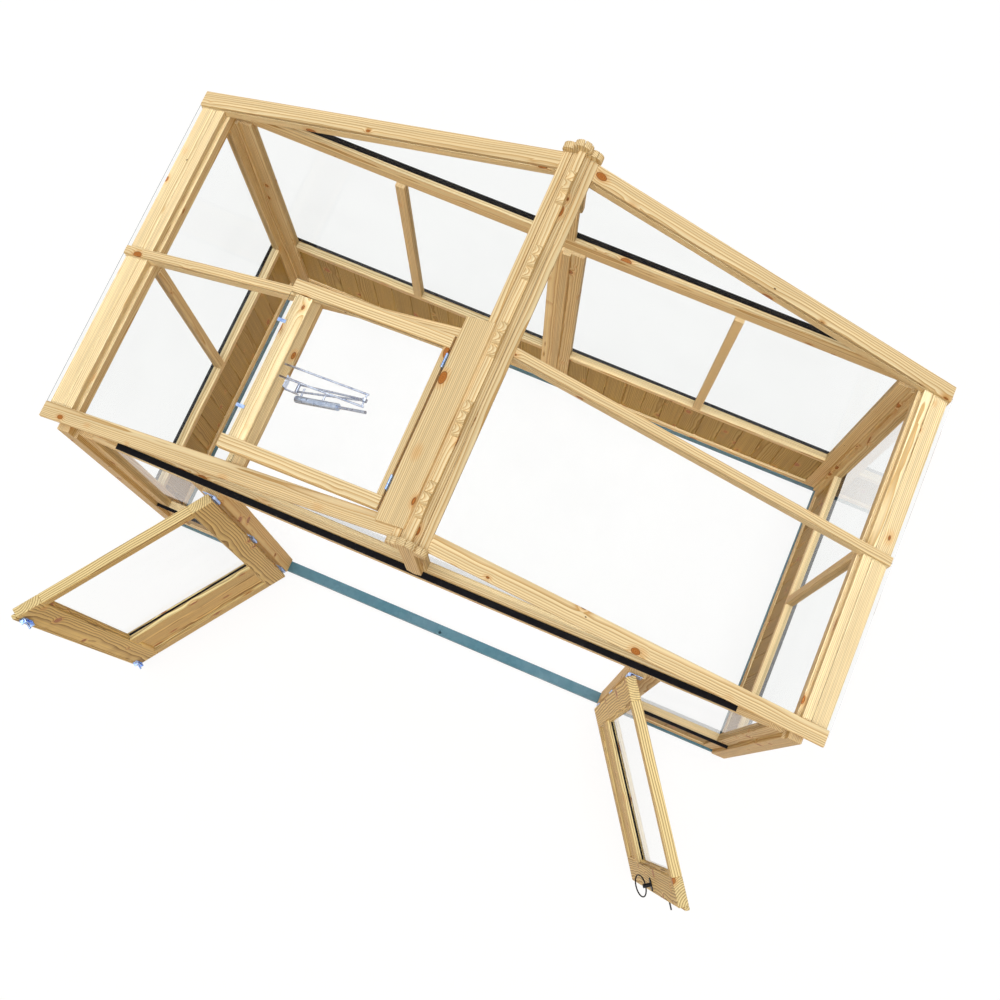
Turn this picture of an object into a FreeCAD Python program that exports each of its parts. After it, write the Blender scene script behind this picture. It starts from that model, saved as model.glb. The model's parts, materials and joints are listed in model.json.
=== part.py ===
import FreeCAD, Part
import os
import Sketcher

Vector = FreeCAD.Vector
Rotation = FreeCAD.Rotation
Placement = FreeCAD.Placement

# Wooden greenhouse with two open doors and one open roof vent.
# Frame: +X along the long side, +Y from the front to the back, +Z up.
# The origin is under the middle of the front base rail, on the ground.

SIZES = [
    ("wall_length", 2880, "outside of the corner posts, left to right"),
    ("wall_depth", 1364, "front to back, between base rail centre lines"),
    ("post_size", 66, "square section of the corner and door posts"),
    ("base_width", 48, "base rail width"),
    ("base_height", 45, "base rail height"),
    ("head_height", 1655, "top of the posts and wall frames"),
    ("frame_thick", 36, "wall frame thickness"),
    ("frame_setback", 18, "wall frame behind the post face"),
    ("stile_width", 53, "stiles of the front and back frames"),
    ("side_stile", 34, "stiles of the left and right frames"),
    ("rail_height", 40, "bottom rails"),
    ("top_rail", 14, "height of the top rails"),
    ("top_rail_thick", 20, "top rails, flush with the outer face of their frame"),
    ("sill_height", 455, "underside of the sill rail"),
    ("sill_rail", 38, "height of the sill rail"),
    ("muntin_width", 38, "glazing bar in the middle of a bay"),
    ("board_cover", 95, "width of one board, about"),
    ("board_thick", 16, "lower boarding"),
    ("board_groove", 4, "V joint between boards"),
    ("glass_thick", 4, "every pane"),
    ("strip_thick", 6, "black drip strips"),
    ("strip_reach", 14, "sill strip in front of the frame"),
    ("door_half", 800, "half of the clear doorway"),
    ("back_post", 32, "width of the back centre post"),
    ("plate_width", 54, "wall plate under the rafters"),
    ("tie_thick", 40, "tie beams and front gable frame"),
    ("tie_face", 4, "tie beam face behind the base centre line"),
    ("tie_height", 111, "depth of the front tie beam"),
    ("back_tie_height", 84, "depth of the back tie beam"),
    ("back_tie_out", 32, "back tie beam past the line of the back posts"),
    ("back_bead", 18, "bead inside the foot of the back gable panes"),
    ("head_stop", 76, "height of the stop the doors close against"),
    ("stop_gap", 1, "closed door and its stop"),
    ("tie_strip_reach", 25, "tie strip in front of the base centre line"),
    ("tie_strip_short", 84, "tie strip short of the roof slope"),
    ("gable_face", 2, "gable frame in front of the base centre line"),
    ("gable_rail", 30, "height of the front gable bottom rail"),
    ("king_width", 40, "king post in the gable"),
    ("pitch", 23.2, "roof slope in degrees"),
    ("heel_height", 108, "cap plane above the posts at the wall face"),
    ("cap_overhang", 10, "caps past the gable rafters"),
    ("cap_thick", 16, "rafter caps and ridge caps"),
    ("rafter_depth", 40, "rafter depth square to the slope"),
    ("gable_width", 61, "width of the gable rafters"),
    ("gable_reach", 17, "gable rafter in front of the base centre line"),
    ("mid_width", 34, "width of the middle rafters"),
    ("eave_overhang", 68, "rafter ends past the wall face"),
    ("glass_drip", 7, "roof glass past the rafter ends"),
    ("pane_gap", 2, "roof panes apart and beside the crest"),
    ("glass_ledge", 20, "glass lying on a gable rafter"),
    ("filler_inset", 4, "eave filler inside the wall face"),
    ("filler_width", 36, "eave filler"),
    ("eave_board_inset", 8, "eave board behind the rafter ends"),
    ("eave_board_width", 62, "eave board"),
    ("eave_board_depth", 20, "eave board depth under the glass"),
    ("ridge_thick", 50, "ridge beam"),
    ("ridge_cap_reach", 60, "ridge cap edge from the middle"),
    ("crest_thick", 24, "ridge crest board"),
    ("crest_height", 45, "straight part of the crest"),
    ("lobe_radius", 22, "round lobes on the crest"),
    ("lobe_gap", 40, "lobe spacing in a group of three"),
    ("lobe_rise", 14, "middle lobe above the side lobes"),
    ("finial_thick", 24, "finial boards"),
    ("finial_width", 54, "finial pendant"),
    ("finial_sink", 18, "side lobes under the apex"),
    ("finial_drop", 412, "straight part of the pendant"),
    ("finial_radius", 32, "finial lobes"),
    ("finial_spread", 38, "side lobes from the middle"),
    ("finial_rise", 40, "top lobe above the side lobes"),
    ("vent_board_width", 108, "vent board"),
    ("vent_board_overhang", 38, "vent board beyond the middle rafter"),
    ("vent_board_inset", 32, "vent board behind the gable face"),
    ("header_inner", 76, "vent header, ridge side"),
    ("header_outer", 112, "vent header, vent side"),
    ("trimmer_inner", 648, "trimmer, ridge side"),
    ("trimmer_outer", 720, "trimmer, eave side"),
    ("lower_pane_start", 700, "pane under the vent begins here"),
    ("vent_axis_reach", 137, "vent hinge axis from the middle"),
    ("vent_axis_rise", 22.5, "vent hinge axis above the cap plane"),
    ("vent_open", 16.4, "vent angle above the roof"),
    ("vent_length", 575, "vent from the axis to the free edge"),
    ("vent_thick", 36, "vent frame thickness"),
    ("vent_drop", 6, "vent frame top below the axis"),
    ("vent_side_gap", 3.5, "vent frame beside the caps"),
    ("vent_rail", 46, "vent side rails"),
    ("vent_hinge_rail", 21, "vent rail at the hinge"),
    ("vent_free_rail", 60, "vent rail at the free edge"),
    ("vent_glass_set", 8, "vent glass below the vent frame's top"),
    ("vent_overhang", 18, "vent side rails and glass past the free rail"),
    ("door_open", 125, "door angle from closed"),
    ("door_axis_out", 5.5, "hinge axis beside the doorway"),
    ("door_axis_reach", 7, "hinge axis in front of the posts"),
    ("door_edge", 8.5, "door edge from the hinge axis"),
    ("door_thick", 36, "door frame thickness"),
    ("door_floor_gap", 10, "doors above the base rails"),
    ("door_head_lap", 57, "doors past the post tops"),
    ("door_stile", 86, "hinge stiles"),
    ("meeting_stile", 100, "stiles where the doors meet"),
    ("door_lap", 7, "rebate lap past the middle"),
    ("lap_gap", 1, "clearance in the rebate"),
    ("door_top_rail", 60, "top rail"),
    ("door_mid_rail", 130, "middle rail"),
    ("door_mid_height", 430, "underside of the middle rail"),
    ("door_bottom_rail", 95, "bottom rail"),
    ("door_panel", 14, "door panel thickness"),
    ("door_glass_set", 6, "door glass behind the outer face"),
    ("knuckle_radius", 6, "door hinge knuckle"),
    ("pin_radius", 3, "door hinge pin"),
    ("pin_play", 0.05, "running clearance on pins and rods"),
    ("hinge_height", 90, "door hinge height"),
    ("hinge_leaf", 40, "door hinge leaf on the post"),
    ("hinge_edge_leaf", 15, "door hinge leaf on the door edge"),
    ("leaf_thick", 2, "hinge leaf thickness"),
    ("hinge_inset", 70, "hinge centre from the door edge"),
    ("knuckle_play", 0.4, "gap between knuckles"),
    ("vent_knuckle", 4, "vent hinge knuckle radius"),
    ("vent_pin", 2, "vent hinge pin radius"),
    ("vent_hinge_width", 50, "vent hinge width"),
    ("vent_leaf_gap", 0.5, "vent hinge leaf beside the axis"),
    ("vent_flap", 30, "moving vent hinge leaf under the axis"),
    ("vent_hinge_inset", 95, "vent hinge centre from the rafter"),
    ("bolt_radius", 5, "door bolt rod"),
    ("bolt_length", 110, "door bolt rod"),
    ("bolt_offset", 18, "bolt axis from the closing edge"),
    ("bolt_clearance", 10, "bolt tip clear of its hole"),
    ("bolt_stand", 10, "bolt axis off the door face"),
    ("bolt_plate", 22, "bolt plate width"),
    ("bolt_plate_length", 92, "bolt plate length"),
    ("bolt_guide", 10, "height of a bolt guide"),
    ("bolt_hole_play", 1.5, "hole in beam and threshold round the bolt"),
    ("bolt_hole_depth", 34, "depth of the bolt holes"),
    ("knob_length", 24, "bolt knob"),
    ("knob_radius", 4, "bolt knob"),
    ("handle_height", 930, "spindle above the ground"),
    ("handle_inset", 48, "spindle from the closing edge"),
    ("spindle_radius", 6, "handle spindle"),
    ("boss_radius", 8, "handle boss"),
    ("boss_length", 30, "handle boss inside the door"),
    ("spindle_room", 2, "hole in the door round the spindle"),
    ("ring_radius", 42.5, "ring centre line"),
    ("ring_wire", 2.8, "ring wire radius"),
    ("ring_inset", 11, "ring from the boss end"),
    ("ring_tilt", 21, "degrees the ring leans off the door"),
    ("latch_boss", 22, "handle boss outside the door"),
    ("latch_stand", 15.5, "latch bar off the door face"),
    ("latch_thick", 5, "latch bar"),
    ("latch_height", 14, "latch bar"),
    ("latch_back", 50, "latch bar behind the spindle"),
    ("latch_reach", 110, "latch bar past the spindle"),
    ("rosette_radius", 26, "rosette"),
    ("rosette_thick", 4, "rosette"),
    ("rosette_gap", 0.5, "boss and rosette"),
    ("opener_place", 372, "opener from the base centre line"),
    ("foot_reach", 42.9, "lower pivot in front of the trimmer"),
    ("foot_drop", 69.5, "lower pivot under the cap plane"),
    ("lower_arm", 341.5, "lower arm between pivots"),
    ("upper_arm", 337.5, "upper arm between pivots"),
    ("lower_arm_rise", 14.5, "degrees the lower arm rises above the slope"),
    ("upper_arm_drop", 14.91, "degrees the upper arm falls below the slope"),
    ("vent_pivot", 544.7, "upper pivot along the vent"),
    ("vent_pivot_drop", 76.6, "upper pivot under the hinge axis line"),
    ("arm_radius", 3.5, "opener wire"),
    ("foot_half", 17, "half width of the lower sleeve"),
    ("arm_foot", 13, "lower wires apart at the foot, half"),
    ("arm_tip", 2, "lower wires apart at the eye, half"),
    ("upper_half", 22, "upper wires apart, half"),
    ("sleeve_radius", 6, "sleeve on an opener pivot"),
    ("eye_radius", 10, "eye at the elbow"),
    ("eye_bore", 6.9, "eye at the elbow"),
    ("eye_half", 5, "half width of the eye"),
    ("wire_tail", 6, "upper wires past the elbow pin"),
    ("lug_thick", 4, "bracket lugs"),
    ("lug_half", 10, "half size of the bracket lugs"),
    ("lug_gap", 0.5, "lug beside a sleeve"),
    ("bracket_pin", 3, "bracket pins"),
    ("cylinder_start", 20, "opener cylinder from the foot"),
    ("cylinder_length", 215, "opener cylinder"),
    ("cylinder_radius", 12.5, "opener cylinder"),
    ("cylinder_beside", 40, "opener cylinder beside the arm"),
    ("cylinder_floor", 25, "closed end of the cylinder"),
    ("piston_radius", 5, "piston rod"),
    ("piston_start", 110, "piston rod from the foot"),
    ("piston_length", 262, "piston rod"),
    ("bar_first", 35, "first cross-bar from the foot"),
    ("bar_second", 150, "second cross-bar from the foot"),
]

doc = FreeCAD.newDocument("Greenhouse")
sheet = doc.addObject("Spreadsheet::Sheet", "Sizes")
for row, (alias, value, note) in enumerate(SIZES, start=1):
    sheet.set("A%d" % row, note)
    sheet.set("B%d" % row, str(value))
    sheet.setAlias("B%d" % row, alias)
doc.recompute()

S = {alias: "Sizes." + alias for alias, value, note in SIZES}
NODES = []
probe = doc.addObject("App::FeaturePython", "Probe")
X_AXIS = Vector(1, 0, 0)
Y_AXIS = Vector(0, 1, 0)
Z_AXIS = Vector(0, 0, 1)
QUARTER = 90
FULL_TURN = 360


def add(*terms):
    """Sum of expressions in one bracket."""
    return "(" + " + ".join("(%s)" % term for term in terms) + ")"


def sub(first, *terms):
    """First expression less the others."""
    return "(" + "(%s)" % first + "".join(" - (%s)" % term for term in terms) + ")"


def times(first, second):
    """Product of two expressions."""
    return "((%s) * (%s))" % (first, second)


def half(term):
    """Half of an expression."""
    return "((%s) / 2)" % term


def minus(term):
    """Negative of an expression."""
    return "(0 - (%s))" % term


def measured(term):
    """Number an expression gives with the sizes as they are."""
    return float(probe.evalExpression(term))


def place(item, start):
    """Bind the position of an object to three expressions."""
    for axis, term in zip("xyz", start):
        item.setExpression("Placement.Base." + axis, term)


def turn(item, axis, angle, start):
    """Bind a turn about one axis and the position of an object."""
    item.Placement = Placement(Vector(), Rotation(axis, 1))
    item.setExpression("Placement.Rotation.Angle", "(%s) * 1deg" % angle)
    place(item, start)


def box(name, start, extent):
    """Rectangular block from its low corner."""
    item = doc.addObject("Part::Box", name)
    for side, term in zip(("Length", "Width", "Height"), extent):
        item.setExpression(side, term)
    place(item, start)
    return item


def rod(name, axis, start, length, radius):
    """Round bar from its starting end along one axis."""
    item = doc.addObject("Part::Cylinder", name)
    item.setExpression("Radius", radius)
    item.setExpression("Height", length)
    if axis == "x":
        item.Placement = Placement(Vector(), Rotation(Y_AXIS, QUARTER))
    elif axis == "y":
        item.Placement = Placement(Vector(), Rotation(X_AXIS, -QUARTER))
    place(item, start)
    return item


def group(name, members):
    """Separate pieces kept together as one object."""
    item = doc.addObject("Part::Compound", name)
    item.Links = members
    return item


def fuse(name, members):
    """Pieces made as one solid."""
    item = doc.addObject("Part::MultiFuse", name)
    item.Shapes = members
    item.Refine = True
    return item


def cut(name, base, tool):
    """Base with the tool taken out."""
    item = doc.addObject("Part::Cut", name)
    item.Base = base
    item.Tool = tool
    return item


def node(item, label):
    """Name an object as one part of the assembly."""
    item.Label = label
    NODES.append(item)
    return item


def outline(sketch, corners):
    """Closed polygon whose corners are bound to expressions."""
    count = len(corners)
    seeds = [Rotation(Z_AXIS, FULL_TURN * index / count).multVec(X_AXIS) for index in range(count)]
    for index in range(count):
        sketch.addGeometry(Part.LineSegment(seeds[index], seeds[(index + 1) % count]))
    for index in range(count):
        sketch.addConstraint(Sketcher.Constraint("Coincident", index, 2, (index + 1) % count, 1))
    for index, corner in enumerate(corners):
        pairs = (("DistanceX", corner[0], seeds[index].x), ("DistanceY", corner[1], seeds[index].y))
        for kind, term, seed in pairs:
            number = sketch.addConstraint(Sketcher.Constraint(kind, -1, 1, index, 1, seed))
            sketch.setExpression("Constraints[%d]" % number, term)


def prism(name, corners, start, length):
    """Body with an outline in the XZ plane, padded towards the back from start."""
    body = doc.addObject("PartDesign::Body", name)
    sketch = body.newObject("Sketcher::SketchObject", name + "_outline")
    plane = [item for item in body.Origin.OriginFeatures if item.Role == "XZ_Plane"][0]
    sketch.AttachmentSupport = [(plane, "")]
    sketch.MapMode = "FlatFace"
    outline(sketch, corners)
    pad = body.newObject("PartDesign::Pad", name + "_pad")
    pad.Profile = sketch
    pad.Reversed = True
    pad.setExpression("Length", length)
    sketch.Visibility = False
    place(body, ("0", start, "0"))
    return body


COS = "cos(Sizes.pitch * 1deg)"
TAN = "tan(Sizes.pitch * 1deg)"
WALL_HALF = half(S["wall_length"])
APEX = add(S["head_height"], S["heel_height"], times(WALL_HALF, TAN))


def roof_z(reach, rise):
    """Height of a plane parallel to the slope, at a distance from the middle."""
    return "(%s + (%s) / %s - (%s) * %s)" % (APEX, rise, COS, reach, TAN)


def roof_reach(height, rise):
    """Distance from the middle where a plane parallel to the slope has a height."""
    return "((%s + (%s) / %s - (%s)) / %s)" % (APEX, rise, COS, height, TAN)


def sided(side, term):
    """Mirror an X expression for the left side."""
    return term if side == "right" else minus(term)


def slope_piece(name, side, inner, outer, low, high, start, length):
    """Piece lying in one slope, between two distances and two planes."""
    corners = [
        (sided(side, inner), roof_z(inner, low)),
        (sided(side, outer), roof_z(outer, low)),
        (sided(side, outer), roof_z(outer, high)),
        (sided(side, inner), roof_z(inner, high)),
    ]
    return prism(name, corners, start, length)


# Levels and faces shared by many pieces
POST_HALF = half(S["post_size"])
POST_INNER = sub(WALL_HALF, S["post_size"])
DEPTH = S["wall_depth"]
BASE_TOP = S["base_height"]
POST_HEIGHT = sub(S["head_height"], BASE_TOP)
GLASS_TOP = minus(S["cap_thick"])
GLASS_LOW = minus(add(S["cap_thick"], S["glass_thick"]))
RAFTER_LOW = minus(add(S["cap_thick"], S["glass_thick"], S["rafter_depth"]))
GABLE_FRONT = minus(S["gable_reach"])
GABLE_INNER = sub(S["gable_width"], S["gable_reach"])
GABLE_BACK = sub(add(DEPTH, S["gable_reach"]), S["gable_width"])
ROOF_LENGTH = add(DEPTH, times("2", S["gable_reach"]))
MIDDLE = half(DEPTH)
MID_FRONT = sub(MIDDLE, half(S["mid_width"]))
MID_BACK = add(MIDDLE, half(S["mid_width"]))
BAY = sub(MID_FRONT, GABLE_INNER)
RIDGE_HALF = half(S["ridge_thick"])
CREST_HALF = half(S["crest_thick"])
EAVE = add(WALL_HALF, S["eave_overhang"])
TIE_TOP = add(S["head_height"], S["tie_height"])
SIDES = ("left", "right")

# Base rails, with the hole for the bottom bolt in the threshold
DOOR_AXIS = add(S["door_half"], S["door_axis_out"])
AXIS_Y = minus(add(POST_HALF, S["door_axis_reach"]))
CLOSING = add(DOOR_AXIS, S["door_lap"])
BOLT_ALONG = sub(CLOSING, S["bolt_offset"])
HALF_THICK = half(S["door_thick"])
DOOR_INNER = HALF_THICK
DOOR_FACE = minus(HALF_THICK)
BOLT_DEEP = add(DOOR_INNER, S["bolt_stand"])
BOLT_X = sub(BOLT_ALONG, DOOR_AXIS)
BOLT_Y = add(AXIS_Y, BOLT_DEEP)
BOLT_HOLE = add(S["bolt_radius"], S["bolt_hole_play"])

base_half = half(S["base_width"])
base_side = sub(WALL_HALF, POST_HALF, base_half)
base_long = add(S["wall_length"], minus(S["post_size"]), S["base_width"])
front_start = (minus(half(base_long)), minus(base_half), "0")
front_rail = box("base_front_blank", front_start, (base_long, S["base_width"], S["base_height"]))
hole_start = (BOLT_X, BOLT_Y, sub(BASE_TOP, S["bolt_hole_depth"]))
floor_hole = rod("bolt_hole_low", "z", hole_start, S["bolt_hole_depth"], BOLT_HOLE)
node(cut("base_front", front_rail, floor_hole), "base_threshold")
back_start = (minus(half(base_long)), sub(DEPTH, base_half), "0")
base_members = [box("base_back", back_start, (base_long, S["base_width"], S["base_height"]))]
for side in SIDES:
    x_start = base_side if side == "right" else minus(add(base_side, S["base_width"]))
    extent = (S["base_width"], sub(DEPTH, S["base_width"]), S["base_height"])
    base_members.append(box("base_" + side, (x_start, base_half, "0"), extent))
node(group("base_group", base_members), "base_rails")

# Corner posts, door posts and back centre post
post_extent = (S["post_size"], S["post_size"], POST_HEIGHT)
corner_posts = []
for row, y_start in (("front", minus(POST_HALF)), ("back", sub(DEPTH, POST_HALF))):
    for side in SIDES:
        x_start = POST_INNER if side == "right" else minus(WALL_HALF)
        corner_posts.append(box("corner_post_%s_%s" % (row, side), (x_start, y_start, BASE_TOP), post_extent))
node(group("corner_post_group", corner_posts), "corner_posts")
door_posts = []
for side in SIDES:
    x_start = S["door_half"] if side == "right" else minus(add(S["door_half"], S["post_size"]))
    door_posts.append(box("door_post_" + side, (x_start, minus(POST_HALF), BASE_TOP), post_extent))
node(group("door_post_pair", door_posts), "door_posts")
centre_start = (minus(half(S["back_post"])), sub(DEPTH, POST_HALF), BASE_TOP)
node(box("centre_post", centre_start, (S["back_post"], S["post_size"], POST_HEIGHT)), "back_centre_post")

# Wall frames, boarding, glass and sill strips
FRAME_FRONT = sub(S["frame_setback"], POST_HALF)
FRAME_BACK = sub(add(DEPTH, POST_HALF), S["frame_setback"])
FRAME_SIDE = sub(WALL_HALF, S["frame_setback"])


def wall_box(name, wall, along, deep, low, length, thick, high):
    """Block in a wall: along it, behind its outer face and up from the ground."""
    if wall == "front":
        return box(name, (along, add(FRAME_FRONT, deep), low), (length, thick, high))
    if wall == "back":
        return box(name, (along, sub(FRAME_BACK, deep, thick), low), (length, thick, high))
    if wall == "left":
        return box(name, (sub(deep, FRAME_SIDE), along, low), (thick, length, high))
    return box(name, (sub(FRAME_SIDE, deep, thick), along, low), (thick, length, high))


def board_profile(name, width):
    """Outline of one board with bevelled edges, so that the joints show as V grooves on both faces."""
    sketch = doc.addObject("Sketcher::SketchObject", name)
    bevel = S["board_groove"]
    thick = S["board_thick"]
    far = sub(width, bevel)
    deep = sub(thick, bevel)
    outer_side = [(bevel, "0"), (far, "0"), (width, bevel), (width, deep)]
    inner_side = [(far, thick), (bevel, thick), ("0", deep), ("0", bevel)]
    outline(sketch, outer_side + inner_side)
    return sketch


def board(name, profile, wall, along, deep, low, high):
    """One board set upright in a wall."""
    item = doc.addObject("Part::Extrusion", name)
    item.Base = profile
    item.DirMode = "Normal"
    item.Solid = True
    item.setExpression("LengthFwd", high)
    if wall == "front":
        place(item, (along, add(FRAME_FRONT, deep), low))
    elif wall == "back":
        place(item, (along, sub(FRAME_BACK, deep, S["board_thick"]), low))
    elif wall == "left":
        turn(item, Z_AXIS, "90", (sub(add(deep, S["board_thick"]), FRAME_SIDE), along, low))
    else:
        turn(item, Z_AXIS, "90", (sub(FRAME_SIDE, deep), along, low))
    return item


SIDE_BAY = sub(DEPTH, S["post_size"])
BACK_BAY = sub(POST_INNER, half(S["back_post"]))
FRONT_BAY = sub(POST_INNER, S["door_half"], S["post_size"])
BAYS = [
    ("left", "left", POST_HALF, SIDE_BAY, S["side_stile"], True),
    ("right", "right", POST_HALF, SIDE_BAY, S["side_stile"], True),
    ("back", "back_left", minus(POST_INNER), BACK_BAY, S["stile_width"], True),
    ("back", "back_right", half(S["back_post"]), BACK_BAY, S["stile_width"], True),
    ("front", "front_left", minus(POST_INNER), FRONT_BAY, S["stile_width"], False),
    ("front", "front_right", add(S["door_half"], S["post_size"]), FRONT_BAY, S["stile_width"], False),
]
frames = {wall: [] for wall in ("left", "right", "back", "front")}
boards = {wall: [] for wall in frames}
panes = {wall: [] for wall in frames}
strips = []
SILL_TOP = add(S["sill_height"], S["sill_rail"])
TOP_RAIL_LOW = sub(S["head_height"], S["top_rail"])
BOARD_LOW = add(BASE_TOP, S["rail_height"])
BOARD_DEEP = half(sub(S["frame_thick"], S["board_thick"]))
PANE_DEEP = half(sub(S["frame_thick"], S["glass_thick"]))
STRIP_LOW = sub(SILL_TOP, S["strip_thick"])
for wall, bay, along, length, stile, has_muntin in BAYS:
    thick = S["frame_thick"]
    inside = add(along, stile)
    clear = sub(length, times("2", stile))
    far_stile = sub(add(along, length), stile)
    frames[wall] += [
        wall_box(bay + "_stile_a", wall, along, "0", BASE_TOP, stile, thick, POST_HEIGHT),
        wall_box(bay + "_stile_b", wall, far_stile, "0", BASE_TOP, stile, thick, POST_HEIGHT),
        wall_box(bay + "_bottom_rail", wall, inside, "0", BASE_TOP, clear, thick, S["rail_height"]),
        wall_box(bay + "_sill_rail", wall, inside, "0", S["sill_height"], clear, thick, S["sill_rail"]),
        wall_box(bay + "_top_rail", wall, inside, "0", TOP_RAIL_LOW, clear, S["top_rail_thick"],
                 S["top_rail"]),
    ]
    pane_high = sub(TOP_RAIL_LOW, SILL_TOP)
    if has_muntin:
        pane_wide = half(sub(clear, S["muntin_width"]))
        bar = add(inside, pane_wide)
        muntin = wall_box(bay + "_muntin", wall, bar, "0", SILL_TOP, S["muntin_width"], thick, pane_high)
        frames[wall].append(muntin)
        pane_starts = [inside, add(bar, S["muntin_width"])]
    else:
        pane_wide = clear
        pane_starts = [inside]
    for number, start in enumerate(pane_starts, start=1):
        name = "%s_pane_%d" % (bay, number)
        pane = wall_box(name, wall, start, PANE_DEEP, SILL_TOP, pane_wide, S["glass_thick"], pane_high)
        panes[wall].append(pane)
    board_count = max(1, round(measured(clear) / measured(S["board_cover"])))
    board_width = "(%s / %d)" % (clear, board_count)
    profile = board_profile(bay + "_board_profile", board_width)
    board_high = sub(S["sill_height"], BOARD_LOW)
    for number in range(board_count):
        start = add(inside, "%s * %d" % (board_width, number))
        name = "%s_board_%d" % (bay, number + 1)
        boards[wall].append(board(name, profile, wall, start, BOARD_DEEP, BOARD_LOW, board_high))
    strips.append(wall_box(bay + "_sill_strip", wall, along, minus(S["strip_reach"]), STRIP_LOW, length,
                           S["strip_reach"], S["strip_thick"]))
for wall in frames:
    node(group("frame_group_" + wall, frames[wall]), "wall_frame_" + wall)
    node(group("board_group_" + wall, boards[wall]), "wall_boards_" + wall)
    node(group("pane_group_" + wall, panes[wall]), "wall_glass_" + wall)

# Wall plates with the bevel the rafters rest on
PLATE_INNER = sub(WALL_HALF, S["plate_width"])
for side in SIDES:
    corners = [
        (sided(side, PLATE_INNER), S["head_height"]),
        (sided(side, WALL_HALF), S["head_height"]),
        (sided(side, WALL_HALF), roof_z(WALL_HALF, RAFTER_LOW)),
        (sided(side, PLATE_INNER), roof_z(PLATE_INNER, RAFTER_LOW)),
    ]
    plate = prism("plate_" + side, corners, minus(POST_HALF), add(DEPTH, S["post_size"]))
    node(plate, "wall_plate_" + side)

# Tie beams, the stop over the doors, drip strips and the gable frames
STRIP_TOP = add(TIE_TOP, S["strip_thick"])
RAIL_TOP = add(STRIP_TOP, S["gable_rail"])
BACK_TIE_TOP = add(S["head_height"], S["back_tie_height"])
BACK_STRIP_TOP = add(BACK_TIE_TOP, S["strip_thick"])
HEAD_LOW = sub(TIE_TOP, S["head_stop"])
STOP_FACE = add(AXIS_Y, DOOR_INNER, S["stop_gap"])
RIDGE_LOW = roof_z(RIDGE_HALF, RAFTER_LOW)
KING_HALF = half(S["king_width"])


def tie_outline(top):
    """Corners of a tie beam between the wall plates, cut to the slope of the rafters at its shoulders."""
    shoulder = roof_reach(top, RAFTER_LOW)
    bevel = roof_z(PLATE_INNER, RAFTER_LOW)
    right = [(PLATE_INNER, S["head_height"]), (PLATE_INNER, bevel), (shoulder, top)]
    return right + [(minus(reach), height) for reach, height in reversed(right)]


def rail_outline(low, high):
    """Corners of a level rail between the rafters, with its ends cut to their slope."""
    right = [(roof_reach(low, RAFTER_LOW), low), (roof_reach(high, RAFTER_LOW), high)]
    return right + [(minus(reach), height) for reach, height in reversed(right)]


gable_panes = []
front_tie = prism("tie_front", tie_outline(TIE_TOP), S["tie_face"], S["tie_thick"])
stop_extent = (times("2", S["door_half"]), sub(S["tie_face"], STOP_FACE), S["head_stop"])
stop = box("head_stop_blank", (minus(S["door_half"]), STOP_FACE, HEAD_LOW), stop_extent)
head_hole = rod("bolt_hole_high", "z", (BOLT_X, BOLT_Y, HEAD_LOW), S["bolt_hole_depth"], BOLT_HOLE)
node(group("tie_with_stop", [front_tie, cut("head_stop_drilled", stop, head_hole)]), "tie_beam_front")
back_start = sub(add(DEPTH, S["back_tie_out"]), S["tie_thick"])
back_tie = prism("tie_back", tie_outline(BACK_TIE_TOP), back_start, S["tie_thick"])
node(back_tie, "tie_beam_back")

# At the front the gable's rail stands on the drip strip, at the back a bead lies beside it
front_start = minus(S["gable_face"])
bead_end = add(back_start, S["back_bead"])
front_strip = add(S["tie_strip_reach"], sub(S["tie_thick"], S["gable_face"]))
back_strip = sub(S["tie_thick"], S["back_bead"])
pane_middle = half(sub(S["tie_thick"], S["glass_thick"]))
GABLE_ROWS = [
    ("front", TIE_TOP, minus(S["tie_strip_reach"]), front_strip, STRIP_TOP, RAIL_TOP, front_start,
     S["tie_thick"], S["tie_thick"], add(front_start, pane_middle)),
    ("back", BACK_TIE_TOP, bead_end, back_strip, BACK_TIE_TOP, BACK_STRIP_TOP, back_start,
     S["back_bead"], add(S["back_bead"], S["glass_thick"]), bead_end),
]
for row, strip_low, strip_start, strip_deep, low, high, start, rail_deep, king_deep, pane_start in GABLE_ROWS:
    strip_half = sub(roof_reach(add(strip_low, S["strip_thick"]), RAFTER_LOW), S["tie_strip_short"])
    strip_extent = (times("2", strip_half), strip_deep, S["strip_thick"])
    strips.append(box("tie_strip_" + row, (minus(strip_half), strip_start, strip_low), strip_extent))
    rail = prism("gable_rail_" + row, rail_outline(low, high), start, rail_deep)
    king_extent = (S["king_width"], king_deep, sub(RIDGE_LOW, high))
    king = box("king_post_" + row, (minus(KING_HALF), start, high), king_extent)
    node(group("gable_group_" + row, [rail, king]), "gable_frame_" + row)
    for side in SIDES:
        corners = [
            (sided(side, KING_HALF), high),
            (sided(side, roof_reach(high, RAFTER_LOW)), high),
            (sided(side, RIDGE_HALF), RIDGE_LOW),
            (sided(side, KING_HALF), RIDGE_LOW),
        ]
        gable_panes.append(prism("gable_pane_%s_%s" % (row, side), corners, pane_start, S["glass_thick"]))
node(group("gable_panes", gable_panes), "gable_glass")
node(group("strip_group", strips), "drip_strips")

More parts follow.
